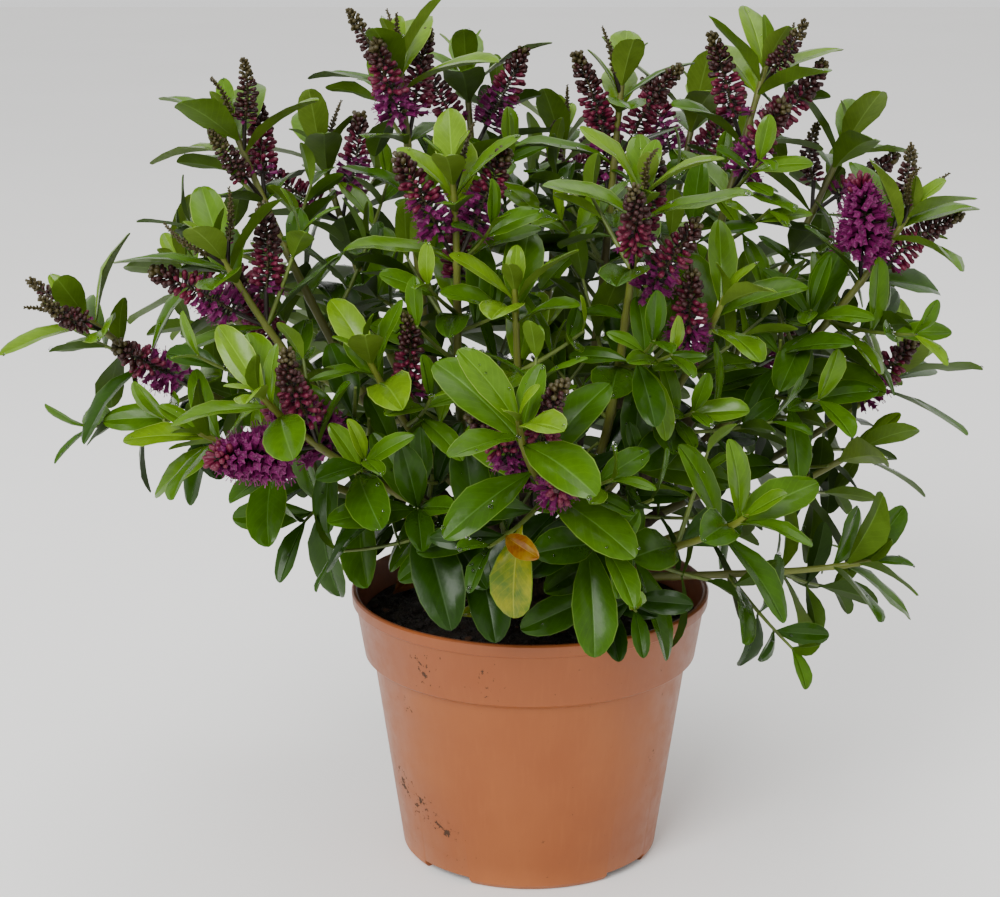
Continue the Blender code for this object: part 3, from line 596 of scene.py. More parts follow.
leafSizes = {
    "length": 51 * mm,
    "slimness": 0.43,  # width over length
    "thickness": 1.3 * mm,  # of the source's leaf, which marks the room it takes
    "blade": 0.45 * mm,  # and of the leaf that shows
    "swell": 0.10,  # rise of each half between the midrib and the edge, over half the width
    "narrowed": 0.98,
    "pointed": 0.42,  # how much some leaves narrow towards the tip
    "fold": math.radians(14),
    "rootDepth": 0.6 * mm,
    "rings": (0.0, 0.40, 0.86, 1.0),
    "smallRings": (0.0, 0.55, 1.0),
    "pairs": 8,
    "rosettePairs": 3,  # these stand close together at the tip
    "rosetteStart": 2.5 * mm,
    "rosetteLength": 18 * mm,
    "internode": 24 * mm,
    "sparse": (5, 0.2),  # past this pair, how often a leaf has dropped
    "strayTurn": math.radians(9),  # how far chance turns a leaf round the stem and away from it
    "strayPitch": math.radians(8),
    "arch": (16, 40),
    "lightPull": 0.55,
    "lift": 0.14,
    "clearance": 0.45 * mm,
    "tries": 9,
    "reach": 84 * mm,  # a mass reaches this far from its own stem
    "share": 9 * mm,  # and this far past the middle between two stems
}

spikeSizes = {
    "peduncle": 15 * mm,
    "lean": 27,  # degrees from the stem, with what each next try adds and what chance does
    "leanMore": 6,
    "leanStray": 5,
    "stray": 12,  # degrees round the stem
    "rings": 5,
    "sides": 5,
    "kinds": {
        "bud": (28 * mm, 6.0 * mm),
        "colouring": (38 * mm, 8.5 * mm),
        "opening": (39 * mm, 9.5 * mm),
        "bloom": (30 * mm, 15.0 * mm),
    },
}

shootSizes = {
    "length": 46 * mm,
    "varied": (0.8, 1.15),
    "firstPair": 4,  # the highest pair whose axil has a side shoot
    "stray": 30,
    "lean": (45, 62),
    "rise": 0.25,  # how much the outer half turns upwards
    "pairs": 3,
    "leaf": 30 * mm,
    "leafPitch": (28, 20),  # of the tip pair, and what each next pair adds
    "leafGrowth": (0.75, 0.2),
    "leafPlace": (0.97, 0.24),  # as shares of the length
    "room": 1.4 * mm,
}


def limbRadius(fromTip):
    return limbSizes["tipRadius"] + limbSizes["taper"] * math.sqrt(max(fromTip, 0))


trunkFoot = soilSizes["height"] + soilSizes["mound"] + gap


def trunkMiddle(height):
    share = max(height / trunkSizes["height"], 0)
    return Vector((0, 0, trunkFoot + height)) + trunkSizes["lean"] * share**2


def trunkRadius(height):
    share = height / trunkSizes["height"]
    flare = (trunkSizes["flare"] - trunkSizes["radius"]) * math.exp(-height / (2.8 * mm))
    return mix(trunkSizes["radius"], trunkSizes["topRadius"], share) + flare


def heading(point, centre):
    return math.atan2(point.y - centre.y, point.x - centre.x)


def boughFeet():
    # low-reaching stems start in the lowest tier, tall ones in the highest, evenly round the trunk
    crownFoot = trunkMiddle(trunkSizes["height"] / 2)
    tips = {name: Vector(leader.tip) * mm for name, leader in leaders.items()}

    def slope(name):
        away = tips[name] - crownFoot
        return away.z / away.xy.length

    ranked = sorted(tips, key=slope)
    tiers = limbSizes["tiers"]
    feet = {}
    for tier in range(tiers):
        ring = ranked[len(ranked) * tier // tiers:len(ranked) * (tier + 1) // tiers]
        ring.sort(key=lambda name: heading(tips[name], crownFoot))
        step = 2 * math.pi / len(ring)
        drift = [heading(tips[name], crownFoot) - step * i for i, name in enumerate(ring)]
        start = sum(drift) / len(drift)
        for i, name in enumerate(ring):
            feet[name] = (trunkSizes["height"] * (tier + 1.2) / (tiers + 0.7), start + step * i)
    return feet


def leaderPath(leader, foot):
    height, angle = foot
    tip = Vector(leader.tip) * mm
    outward = Vector((math.cos(angle), math.sin(angle), 0))
    startWay = outward * math.cos(limbSizes["rise"]) + up * math.sin(limbSizes["rise"])
    length = (tip - trunkMiddle(height)).length
    lowerEdge = height - limbRadius(length * 1.1)
    start = trunkMiddle(height) + outward * (trunkRadius(lowerEdge) + gap)
    tipWay = ((tip - start).normalized() + up * leader.lift).normalized()
    return interpolate_bezier(
        start, start + startWay * length * 0.28, tip - tipWay * length * 0.36, tip, limbSizes["steps"]
    )


def lengthsAlong(path):
    total, made = 0.0, [0.0]
    for a, b in zip(path, path[1:]):
        total += (b - a).length
        made.append(total)
    return made


def placeOn(path, distance):
    soFar = 0.0
    for a, b in zip(path, path[1:]):
        step = (b - a).length
        if soFar + step >= distance or b is path[-1]:
            return a + (b - a) * ((distance - soFar) / step), (b - a) / step
        soFar += step


def partOf(path, start, end, count):
    return [placeOn(path, mix(start, end, i / (count - 1)))[0] for i in range(count)]


def frameAbout(way):
    turn = up.rotation_difference(way)
    return turn @ Vector((1, 0, 0)), turn @ Vector((0, 1, 0))


def roundStem(way, angle):
    across, beyond = frameAbout(way)
    return across * math.cos(angle) + beyond * math.sin(angle)


def leafWidthShare(t):
    widest = 0.62
    return (t / widest) ** 0.9 * ((1 - t) / (1 - widest)) ** 0.55


def leafPoint(leaf, t):
    bend = leaf.arch * t
    reach = math.sin(bend) / leaf.arch
    drop = (1 - math.cos(bend)) / leaf.arch
    centre = leaf.root + (leaf.out * reach - leaf.face * drop) * leaf.length
    return centre, leaf.face * math.cos(bend) + leaf.out * math.sin(bend)


def spindleRoom(sides, levels, place):
    # a closed faceted shape. place gives each corner from its level and its angle round the shape
    build = bmesh.new()
    bmesh.ops.create_uvsphere(build, u_segments=sides, v_segments=levels, radius=1)
    for vert in build.verts:
        level = round(math.acos(max(-1, min(1, vert.co.z))) / math.pi * levels)
        vert.co = place(level, math.atan2(vert.co.y, vert.co.x))
    bmesh.ops.triangulate(build, faces=build.faces)
    bmesh.ops.recalc_face_normals(build, faces=build.faces)
    return build


def leafRoom(leaf):
    # the coarse closed leaf of the source, grown by the clearance, which marks the leaf's room
    rings = leafSizes["smallRings"] if leaf.small else leafSizes["rings"]
    grow, fold = leafSizes["clearance"], leafSizes["fold"]
    across = leaf.out.cross(leaf.face)

    def place(level, angle):
        t = max(rings[level], 0.16)
        centre, face = leafPoint(leaf, t)
        if level in (0, len(rings) - 1):
            return centre
        corner = round(angle / (2 * math.pi / 3)) % 3
        if corner == 0:
            return centre - face * (leafSizes["thickness"] + grow)
        half = leaf.width / 2 * leafWidthShare(t) + grow
        side = 1 if corner == 1 else -1
        edge = centre + across * side * half * math.cos(fold)
        return edge + face * (half * math.sin(fold) + grow)

    return spindleRoom(3, len(rings) - 1, place)


def spikeRoom(spike):
    grow, levels = leafSizes["clearance"], spikeSizes["rings"] - 1
    across, beyond = frameAbout(spike.out)

    def place(level, angle):
        t = level / levels
        full = 0.0 if level in (0, levels) else spike.radius * (1.12 - 0.72 * t) + grow
        stretch = -grow if level == 0 else grow if level == levels else 0
        middle = spike.foot + spike.out * (spike.length * t + stretch)
        return middle + (across * math.cos(angle) + beyond * math.sin(angle)) * full

    return spindleRoom(spikeSizes["sides"], levels, place)


def rodRoom(start, end, radius):
    build = bmesh.new()
    length = (end - start).length
    bmesh.ops.create_cone(
        build, cap_ends=True, cap_tris=True, segments=6, radius1=radius, radius2=radius, depth=length
    )
    turn = up.rotation_difference((end - start).normalized())
    for vert in build.verts:
        vert.co = turn @ vert.co + (start + end) / 2
    return build


def solidOf(build):
    points = [vert.co for vert in build.verts]
    middle = sum(points, Vector()) / len(points)
    radius = max((point - middle).length for point in points)
    made = Solid(BVHTree.FromBMesh(build), middle, radius)
    build.free()
    return made


class CrownRoom:
    # what has grown so far, and the tests that keep each new piece clear of it

    cell = 40 * mm

    def __init__(self, paths):
        self.cells = {}
        self.stems = {}
        for name, (path, leafy) in paths.items():
            total = lengthsAlong(path)[-1]
            self.stems[name] = partOf(path, total - leafy, total, 6)

    def cellsAbout(self, middle, radius):
        low = [math.floor((c - radius) / self.cell) for c in middle]
        high = [math.floor((c + radius) / self.cell) for c in middle]
        for x in range(low[0], high[0] + 1):
            for y in range(low[1], high[1] + 1):
                for z in range(low[2], high[2] + 1):
                    yield x, y, z

    def put(self, solid):
        for cell in self.cellsAbout(solid.centre, solid.radius):
            self.cells.setdefault(cell, []).append(solid)

    def take(self, build):
        # puts a shape in and says so, if it is clear of all that grew before
        made, seen = solidOf(build), set()
        for cell in self.cellsAbout(made.centre, made.radius):
            for solid in self.cells.get(cell, ()):
                if id(solid) in seen:
                    continue
                seen.add(id(solid))
                near = (solid.centre - made.centre).length <= solid.radius + made.radius
                if near and made.tree.overlap(solid.tree):
                    return False
        self.put(made)
        return True

    def distance(self, point, name):
        best = math.inf
        stem = self.stems[name]
        for a, b in zip(stem, stem[1:]):
            share = max(0.0, min(1.0, intersect_point_line(point, a, b)[1]))
            best = min(best, (a + (b - a) * share - point).length)
        return best

    def inSpace(self, point, name, share=leafSizes["share"]):
        own = self.distance(point, name)
        if own > leafSizes["reach"]:
            return False
        return all(own < self.distance(point, other) + share for other in self.stems if other != name)


def leanedOut(way, angle, lean, lift=0.0):
    # a direction that leans out of a stem's way, and up by the lift
    return (way * math.cos(lean) + roundStem(way, angle) * math.sin(lean) + up * lift).normalized()


def growLeaf(crown, name, draw, root, way, angle, pitch, length, small=False, slim=1.0):
    for attempt in range(leafSizes["tries"]):
        loose = 0.4 + attempt * 0.45
        turn = angle + leafSizes["strayTurn"] * loose * draw.uniform(-1, 1)
        slant = pitch + leafSizes["strayPitch"] * loose * draw.uniform(-1, 1)
        size = length * (1 - 0.05 * attempt) * draw.uniform(0.93, 1.05)
        out = leanedOut(way, turn, slant, leafSizes["lift"])
        face = way + up * leafSizes["lightPull"]
        face = (face - out * face.dot(out)).normalized()
        arch = math.radians(draw.uniform(*leafSizes["arch"]))
        width = size * leafSizes["slimness"] * slim * draw.uniform(0.92, 1.08)
        leaf = Leaf(root - out * leafSizes["rootDepth"], out, face, size, width, arch, small)
        inside = all(crown.inSpace(leafPoint(leaf, t)[0], name) for t in (0.5, 1.0))
        if inside and crown.take(leafRoom(leaf)):
            return leaf
    return None


def nodeDistance(pair):
    # from the tip down to a pair of leaves
    close, start, length = [leafSizes["rosette" + part] for part in ("Pairs", "Start", "Length")]
    if pair <= close:
        return start + (length - start) * (pair / close) ** 1.2
    return length + leafSizes["internode"] * (pair - close)


def pairPitch(pair):
    # nearly closed at the tip, and spread flat further down
    return math.radians(14 + 74 * (1 - math.exp(-pair / 2.6)))


def pairLength(pair):
    return leafSizes["length"] * (1 - 0.55 * math.exp(-pair / 1.05))


def growPair(crown, name, path, leafy, pair, draw):
    if nodeDistance(pair) > leafy - 5 * mm:
        return []
    root, way = placeOn(path, lengthsAlong(path)[-1] - nodeDistance(pair))
    dense, lost = leafSizes["sparse"]
    made = []
    for side in (0, 1):
        if pair > dense and draw.random() < lost:
            continue
        angle = math.radians(leaders[name].turn + 90 * pair + 180 * side)
        leaf = growLeaf(crown, name, draw, root, way, angle, pairPitch(pair), pairLength(pair))
        if leaf:
            made.append((leaf, pair))
    return made


def growSpikes(crown, name, path, draw):
    made = []
    total = lengthsAlong(path)[-1]
    for pair, side, kind in leaders[name].spikes:
        foot, way = placeOn(path, total - nodeDistance(pair))
        length, radius = spikeSizes["kinds"][kind]
        for attempt in range(leafSizes["tries"]):
            stray = draw.uniform(-spikeSizes["stray"], spikeSizes["stray"]) * (1 + attempt)
            angle = math.radians(leaders[name].turn + 90 * pair + 180 * side + stray)
            lean = spikeSizes["lean"] + spikeSizes["leanMore"] * attempt
            lean += draw.uniform(-spikeSizes["leanStray"], spikeSizes["leanStray"])
            out = leanedOut(way, angle, math.radians(lean))
            spike = Spike(foot + out * spikeSizes["peduncle"], out, length, radius)
            if crown.take(spikeRoom(spike)):
                made.append((foot, spike, kind))
                break
    return made


def growYoungSpikes(crown, name, path, draw):
    # slender unripe spikes standing in the topmost leaves
    made = []
    young = youngSpikes
    foot, way = placeOn(path, lengthsAlong(path)[-1] - nodeDistance(1.5))
    for side in (0, 1):
        for attempt in range(leafSizes["tries"]):
            angle = math.radians(leaders[name].turn + 45 + 180 * side + draw.uniform(-40, 40))
            out = leanedOut(way, angle, math.radians(draw.uniform(*young["lean"])))
            length = draw.uniform(*young["length"]) * mm
            spike = Spike(foot + out * young["peduncle"], out, length, young["room"])
            if crown.take(spikeRoom(spike)):
                made.append((foot, spike, "young"))
                break
    return made


def growShoot(crown, name, foot, out, turned, size, thick, share, low=-math.inf, high=math.inf):
    # the bent run of a side shoot, or nothing where there is no room for it
    bend = foot + out * size * 0.5
    end = bend + turned * size * 0.5
    if low <= end.z <= high and crown.inSpace(end, name, share):
        if crown.take(rodRoom(foot + out * 4 * mm, end, thick)):
            return [foot, bend, end]
    return None


def growSideShoots(crown, name, path, leafy, draw):
    made = []
    total = lengthsAlong(path)[-1]
    for number in range(leaders[name].shoots):
        pair = shootSizes["firstPair"] + number
        if nodeDistance(pair) > leafy - 6 * mm:
            break
        foot, way = placeOn(path, total - nodeDistance(pair))
        for attempt in range(leafSizes["tries"]):
            stray = draw.uniform(-shootSizes["stray"], shootSizes["stray"]) * (1 + attempt * 0.5)
            angle = math.radians(leaders[name].turn + 90 * pair + 45 + 180 * (number % 2) + stray)
            out = leanedOut(way, angle, math.radians(draw.uniform(*shootSizes["lean"])))
            turned = (out + up * shootSizes["rise"]).normalized()
            size = shootSizes["length"] * draw.uniform(*shootSizes["varied"])
            points = growShoot(
                crown, name, foot, out, turned, size, shootSizes["room"], leafSizes["share"]
            )
            if points:
                pairs, longest = shootSizes["pairs"], shootSizes["leaf"]
                leaves = growShootLeaves(crown, name, draw, points, turned, angle, pairs, longest)
                made.append((points, leaves))
                break
    return made


def growShootLeaves(crown, name, draw, points, way, angle, pairs, longest, slim=1.0):
    leaves = []
    size = lengthsAlong(points)[-1]
    (tipPlace, apart), (tipPitch, spread), (tipLength, growth) = [
        shootSizes[part] for part in ("leafPlace", "leafPitch", "leafGrowth")
    ]
    for step in range(pairs):
        spot = placeOn(points, size * (tipPlace - apart * step))[0]
        pitch = math.radians(tipPitch + spread * step)
        length = longest * (tipLength + growth * step)
        for side in (0, 1):
            turn = angle + math.pi / 2 * step + math.pi * side
            leaf = growLeaf(crown, name, draw, spot, way, turn, pitch, length, True, slim)
            if leaf:
                leaves.append((leaf, step))
    return leaves


def addLimbRoom(crown, path):
    ways = lengthsAlong(path)
    for i in range(0, len(path) - 2, 2):
        radius = limbRadius(ways[-1] - ways[i]) + leafSizes["clearance"]
        crown.put(solidOf(rodRoom(path[i], path[i + 2], radius)))


def addNodeRoom(crown, name):
    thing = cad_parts[name]
    points = [vert.co for vert in thing.data.vertices]
    tree = BVHTree.FromPolygons(points, [face.vertices for face in thing.data.polygons])
    low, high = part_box(name)
    middle = (Vector(low) + Vector(high)) / 2
    crown.put(Solid(tree, middle, (Vector(high) - middle).length))


# Finer growth: more side shoots, low on each stem and on the bare boughs below the leaves

extraSizes = {
    "perLeader": 15,
    "from": 70 * mm,  # down from the tip, and then to these shares of the bough
    "to": (0.8, 0.86),
    "lean": (35, 70),
    "lift": 0.15,
    "rise": (0.1, 0.5),
    "more": {
        "right_outer": 8, "right_mid": 8, "right_inner": 6, "right_front": 6, "right_low": 3,
    },
    "length": (26 * mm, 64 * mm),
    "longRun": 40 * mm,  # from here on a shoot has four pairs of leaves instead of three
    "leaf": (28 * mm, 50 * mm),
    "slim": 0.93,
    "room": 1.1 * mm,
    "share": 30 * mm,
    "belowTip": 40 * mm,
    "tries": 7,
    "lowest": 152 * mm,
    "lowestLeaf": 132 * mm,
}

youngSpikes = {
    "on": (
        "top_left", "top_right", "left_high", "front_tall", "top_mid", "right_outer", "left_outer",
        "front_right_tall", "left_mid", "back_left", "back_right", "back_mid",
    ),
    "lean": (8, 34),
    "length": (20, 26),
    "peduncle": 9 * mm,
    "room": 1.6 * mm,
}


def growExtraShoots(crown, name, path, draw):
    made = []
    extra, total, tip = extraSizes, lengthsAlong(path)[-1], path[-1]
    count = extra["perLeader"] + extra["more"].get(name, 0)
    for number in range(count):
        down = mix(extra["from"], total * extra["to"][0], (number + draw.random()) / count)
        foot, way = placeOn(path, total - min(down, total * extra["to"][1]))
        for attempt in range(extra["tries"]):
            angle = draw.uniform(0, 2 * math.pi)
            lean = math.radians(draw.uniform(*extra["lean"]))
            out = leanedOut(way, angle, lean, extra["lift"])
            turned = (out + up * draw.uniform(*extra["rise"])).normalized()
            size = mix(*extra["length"], draw.random())
            points = growShoot(
                crown, name, foot, out, turned, size, extra["room"], extra["share"],
                extra["lowest"], tip.z - extra["belowTip"],
            )
            if points:
                longest = mix(*extra["leaf"], draw.random())
                pairs = 3 if size < extra["longRun"] else 4
                leaves = growShootLeaves(
                    crown, name, draw, points, turned, angle, pairs, longest, extra["slim"]
                )
                high = [each for each in leaves if leafPoint(each[0], 1.0)[0].z > extra["lowestLeaf"]]
                made.append((points, high))
                break
    return made


def growCrown():
    feet = boughFeet()
    paths = {}
    for name, leader in leaders.items():
        path = leaderPath(leader, feet[name])
        total = lengthsAlong(path)[-1]
        paths[name] = (path, min(limbSizes["foliageLength"], total * limbSizes["foliageShare"]))
    crown = CrownRoom(paths)
    for node in ("pot", "soil"):
        addNodeRoom(crown, node)
    for path, leafy in paths.values():
        addLimbRoom(crown, path)
    draws = {name: random.Random(leader.draw) for name, leader in leaders.items()}
    grown = {name: {"path": path, "leafy": leafy, "leaves": []} for name, (path, leafy) in paths.items()}
    for name, limb in grown.items():
        limb["spikes"] = growSpikes(crown, name, limb["path"], draws[name])
    for pair in range(leafSizes["pairs"]):
        for name, limb in grown.items():
            limb["leaves"] += growPair(crown, name, limb["path"], limb["leafy"], pair, draws[name])
    for name, limb in grown.items():
        limb["shoots"] = growSideShoots(crown, name, limb["path"], limb["leafy"], draws[name])
    for number, (name, limb) in enumerate(grown.items()):
        draw = random.Random(7001 + number)
        if name in youngSpikes["on"]:
            limb["spikes"] += growYoungSpikes(crown, name, limb["path"], draw)
        limb["extra"] = growExtraShoots(crown, name, limb["path"], draw)
    return grown


# Trunk and boughs: one mesh with the relief of the bark. Young hebe bark is thin, brown and
# slightly flaking, ringed by old leaf scars, and turns olive green towards the leafy stems.

barkSizes = {
    "voxel": 1.25 * mm,
    "relief": 0.6 * mm,
    "step": 4 * mm,
    "scars": 21 * mm,  # between the rings that fallen leaves left
    "scarHeight": 0.10,  # as shares of the bough's radius
    "collarHeight": 0.35,
    "collarLength": 5 * mm,
    "trunkLevels": 16,
    "dark": "#150e07",
    "pale": "#46361f",
    "green": "#45431a",
    "greenAt": 200 * mm,  # from the foot
    "foot": (0, 0, 125 * mm),
}


def barkMaterial():
    # dull cracked brown at the foot, going over to olive green with the distance from it
    made, tree = startMaterial("youngHebeBark", Roughness=0.75, IOR=1.45)
    place = addNode(tree, "TexCoord", out="Object")
    long = addNode(tree, "Mapping", {"Vector": place, "Scale": (1, 1, 0.35)})
    crack = addNode(
        tree, "TexNoise", {"Vector": long, "Scale": 1 / (2.5 * mm), "Detail": 6, "Roughness": 0.65}
    )
    stops = ((0.33, barkSizes["dark"]), (0.7, barkSizes["pale"]))
    bark = addNode(tree, "ValToRGB", {0: crack}, stops=stops)
    away = addNode(
        tree, "VectorMath", {0: place, 1: barkSizes["foot"]}, "Value", operation="DISTANCE"
    )
    patches = addNode(
        tree, "TexNoise", {"Vector": place, "Scale": 1 / (15 * mm), "Detail": 3, "Roughness": 0.55}
    )
    away = addNode(tree, "Math", {0: patches, 1: 40 * mm, 2: away}, operation="MULTIPLY_ADD")
    away = addNode(tree, "Math", {0: away, 1: barkSizes["greenAt"]}, operation="DIVIDE")
    share = addNode(tree, "ValToRGB", {0: away}, stops=((0.45, 0.0), (0.85, 0.85)))
    colour = addNode(tree, "Mix", {0: share, 6: bark, 7: barkSizes["green"]}, 2, data_type="RGBA")
    relief = addNode(tree, "Bump", {"Height": crack, "Distance": 0.5 * mm, "Strength": 1})
    wire(tree, Base_Color=colour, Normal=relief)
    return made


def boughCurve(grown):
    # every bough is one spline of one curve, swept with a round section
    curve = bpy.data.curves.new("boughs", "CURVE")
    curve.dimensions = "3D"
    curve.bevel_depth = 1.0
    curve.bevel_resolution = 2
    curve.use_fill_caps = True
    for limb in grown.values():
        path, total = limb["path"], lengthsAlong(limb["path"])[-1]
        end = total - limb["leafy"]
        count = max(8, round(end / barkSizes["step"]))
        points = partOf(path, 0, end, count)
        inward = (trunkMiddle(points[0].z - trunkFoot) - points[0]).xy.to_3d().normalized()
        points.insert(0, points[0] + inward * 4 * mm)  # sinks the bough's foot in the trunk
        spline = curve.splines.new("POLY")
        spline.points.add(len(points) - 1)
        for i, point in enumerate(points):
            along = end * max(0, i - 1) / (count - 1)
            scar = max(0, math.cos(2 * math.pi * (total - along) / barkSizes["scars"])) ** 12
            collar = barkSizes["collarHeight"] * math.exp(-along / barkSizes["collarLength"])
            swell = 1 + barkSizes["scarHeight"] * scar + collar
            spline.points[i].co = (*point, 1)
            spline.points[i].radius = limbRadius(total - along) * swell
    boughs = bpy.data.objects.new("boughs", curve)
    bpy.context.scene.collection.objects.link(boughs)
    pick(boughs)
    bpy.ops.object.convert(target="MESH")
    return bpy.context.object


def trunkMesh():
    deselectAll()
    start, radius = trunkMiddle(0), trunkRadius(0)
    bpy.ops.mesh.primitive_circle_add(vertices=32, radius=radius, location=start, fill_type="NGON")
    trunk = bpy.context.object
    settle(trunk)
    editAll(trunk)
    before, levels = start, barkSizes["trunkLevels"]
    for level in range(1, levels + 1):
        height = trunkSizes["height"] * (level / levels) ** 1.3
        middle = trunkMiddle(height)
        bpy.ops.mesh.extrude_region_move(TRANSFORM_OT_translate={"value": middle - before})
        scale = trunkRadius(height) / radius
        bpy.ops.transform.resize(value=(scale, scale, 1), center_override=middle)
        before, radius = middle, trunkRadius(height)
    for _ in range(3):  # rounds off the top
        rise = up * 1.2 * mm
        bpy.ops.mesh.extrude_region_move(TRANSFORM_OT_translate={"value": rise})
        before = before + rise
        bpy.ops.transform.resize(value=(0.72, 0.72, 1), center_override=before)
    faceOutwards()
    return trunk


def makeBark(grown):
    trunk, boughs = trunkMesh(), boughCurve(grown)
    deselectAll()
    boughs.select_set(True)
    trunk.select_set(True)
    bpy.context.view_layer.objects.active = trunk
    bpy.ops.object.join()
    bark = bpy.context.object
    bark.name = bark.data.name = "trunkAndBoughs"
    one = bark.modifiers.new("one", "REMESH")
    one.mode = "VOXEL"
    one.voxel_size = barkSizes["voxel"]
    soften = bark.modifiers.new("soften", "SMOOTH")
    soften.iterations = 2
    texture = bpy.data.textures.new("barkRelief", "MUSGRAVE")
    texture.noise_scale = 4 * mm
    relief = bark.modifiers.new("relief", "DISPLACE")
    relief.texture = texture
    relief.strength = barkSizes["relief"]
    relief.mid_level = 0.35
    applyAll(bark)
    bark.data.materials.clear()
    bark.data.materials.append(barkMaterial())
    smooth(bark, 80)
    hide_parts("trunk", *[f"bough_{name}" for name in leaders])
    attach(bark, "root")


# Green stems and twigs inside the foliage

stemSizes = {
    "sides": 8,
    "twigSides": 6,
    "step": 4 * mm,
    "nodeSwell": 0.14,
    "slimmed": 0.82,  # against the source's stem
    "stemColours": ("#38330f", "#667020"),
    "twigColours": ("#3f4e16", "#5c6c26"),
}


def tube(points, radii, sides):
    # arrays of a closed tube: rings of points, quads between them, and a fan at each end
    rings = []
    for i, point in enumerate(points):
        way = (points[min(i + 1, len(points) - 1)] - points[max(i - 1, 0)]).normalized()
        across, beyond = frameAbout(way)
        for k in range(sides):
            angle = 2 * math.pi * k / sides
            rings.append(point + (across * math.cos(angle) + beyond * math.sin(angle)) * radii[i])
    faces = []
    for i in range(len(points) - 1):
        for k in range(sides):
            a, b = i * sides + k, i * sides + (k + 1) % sides
            faces.append((a, b, b + sides, a + sides))
    faces.append(tuple(range(sides - 1, -1, -1)))
    faces.append(tuple(range((len(points) - 1) * sides, len(points) * sides)))
    return np.array([tuple(p) for p in rings]), faces


def joinTubes(name, tubes, materials, angle=60):
    points, loops, totals, slots, first = [], [], [], [], 0
    for placed, faces, slot in tubes:
        points.append(placed)
        for face in faces:
            loops.extend(i + first for i in face)
            totals.append(len(face))
            slots.append(slot)
        first += len(placed)
    points = np.concatenate(points)
    return pieceFromArrays(name, points, loops, np.array(totals), slots, materials, angle)


def stemMaterial(name, low, high, patch):
    # a smooth living stem: thin green skin with a brownish flush
    made, tree = startMaterial(name, Roughness=0.5, IOR=1.45)
    place = addNode(tree, "TexCoord", out="Object")
    flush = addNode(
        tree, "TexNoise", {"Vector": place, "Scale": 1 / patch, "Detail": 3, "Roughness": 0.55}
    )
    colour = addNode(tree, "ValToRGB", {0: flush}, stops=((0.32, low), (0.68, high)))
    long = addNode(tree, "Mapping", {"Vector": place, "Scale": (1, 1, 0.3)})
    grooves = addNode(
        tree, "TexNoise", {"Vector": long, "Scale": 1 / (1.2 * mm), "Detail": 3, "Roughness": 0.6}
    )
    relief = addNode(tree, "Bump", {"Height": grooves, "Distance": 0.12 * mm, "Strength": 1})
    wire(tree, Base_Color=colour, Normal=relief)
    return made


def bentTwig(points, draw):
    # the twig's two straight runs as one easy curve
    middle = points[1] + Vector([draw.uniform(-1, 1) for _ in range(3)]) * 1.2 * mm
    first = mix(points[0], middle, 0.8)
    count = max(5, round((points[2] - points[0]).length / stemSizes["step"]))
    return interpolate_bezier(points[0], first, mix(points[2], middle, 0.7), points[2], count)


def makeStems(grown):
    draw = random.Random(31)
    tubes = []
    for limb in grown.values():
        path, leafy = limb["path"], limb["leafy"]
        total = lengthsAlong(path)[-1]
        count = round(leafy / stemSizes["step"]) * 2
        points = partOf(path, total - leafy - 1.5 * mm, total + 1 * mm, count)
        nodes = [nodeDistance(pair) for pair in range(leafSizes["pairs"])]
        radii = []
        for i in range(count):
            fromTip = max(0, leafy * (1 - i / (count - 1)))
            near = min(abs(fromTip - node) for node in nodes)
            swell = stemSizes["nodeSwell"] * math.exp(-((near / (2.2 * mm)) ** 2))
            end = 0.5 if i == count - 1 else 1
            radii.append(limbRadius(fromTip) * (stemSizes["slimmed"] + swell) * end)
        tubes.append((*tube(points, radii, stemSizes["sides"]), 0))
        for points, _ in limb["shoots"] + limb["extra"]:
            curved = bentTwig(points, draw)
            radii = [mix(1.25, 0.7, i / (len(curved) - 1)) * mm for i in range(len(curved))]
            tubes.append((*tube(curved, radii, stemSizes["twigSides"]), 1))
    olive = stemMaterial("oliveHebeStem", *stemSizes["stemColours"], 45 * mm)
    green = stemMaterial("greenHebeTwig", *stemSizes["twigColours"], 9 * mm)
    stems = joinTubes("stemsAndTwigs", tubes, [olive, green])
    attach(stems, "root")


# Leaves: leathery evergreen blades, smooth and waxy, with a thin pale margin and a paler back

leafRows = {  # share of the length: half width as a share of the greatest
    0.0: 0.10, 0.07: 0.14, 0.20: 0.46, 0.37: 0.81, 0.56: 1.0, 0.74: 0.96, 0.87: 0.75, 0.955: 0.45,
    0.988: 0.22,
}
leafSection = (  # across and up, round from the left edge
    (-1, 0), (-0.95, 0.2), (-0.5, 0.5), (0, 0.1), (0.5, 0.5), (0.95, 0.2), (1, 0), (0, -1),
)

LeafShape = namedtuple("LeafShape", "points faces slots side wide")

leafTones = {  # blade, margin, back
    "young": ("#5b7c08", "#7c9436", "#5a7222"),
    "fresh": ("#486a06", "#6a8230", "#4e6a18"),
    "grown": ("#3b5c04", "#587424", "#445e14"),
    "mature": ("#2f4f03", "#486418", "#38520c"),
    "deep": ("#244103", "#3a5412", "#2e4609"),
    # the darkest tone, reached only through the painted shade of leaves low in the bush
    "old": ("#193202", "#2c440c", "#223a06"),
    "turning": ("#6e5207", "#66601a", "#5a4c18"),
    "yellow": ("#6e7003", "#52680e", "#646420"),
    "spent": ("#5a3210", "#6a431c", "#4a2c12"),
}
seconds = {"yellow": "#34520a", "turning": "#5c2c06"}  # what is left of another colour in the blade
sunlit = ("young", "fresh", "yellow")  # shinier than the darker ones

toneLadders = {  # tones to draw from below each age, in leaf pairs from the tip
    2: ("young", "young", "fresh"),
    4: ("young", "fresh", "fresh", "grown", "grown"),
    6: ("fresh", "grown", "grown", "mature", "mature"),
    99: ("grown", "mature", "mature", "deep", "deep"),
}


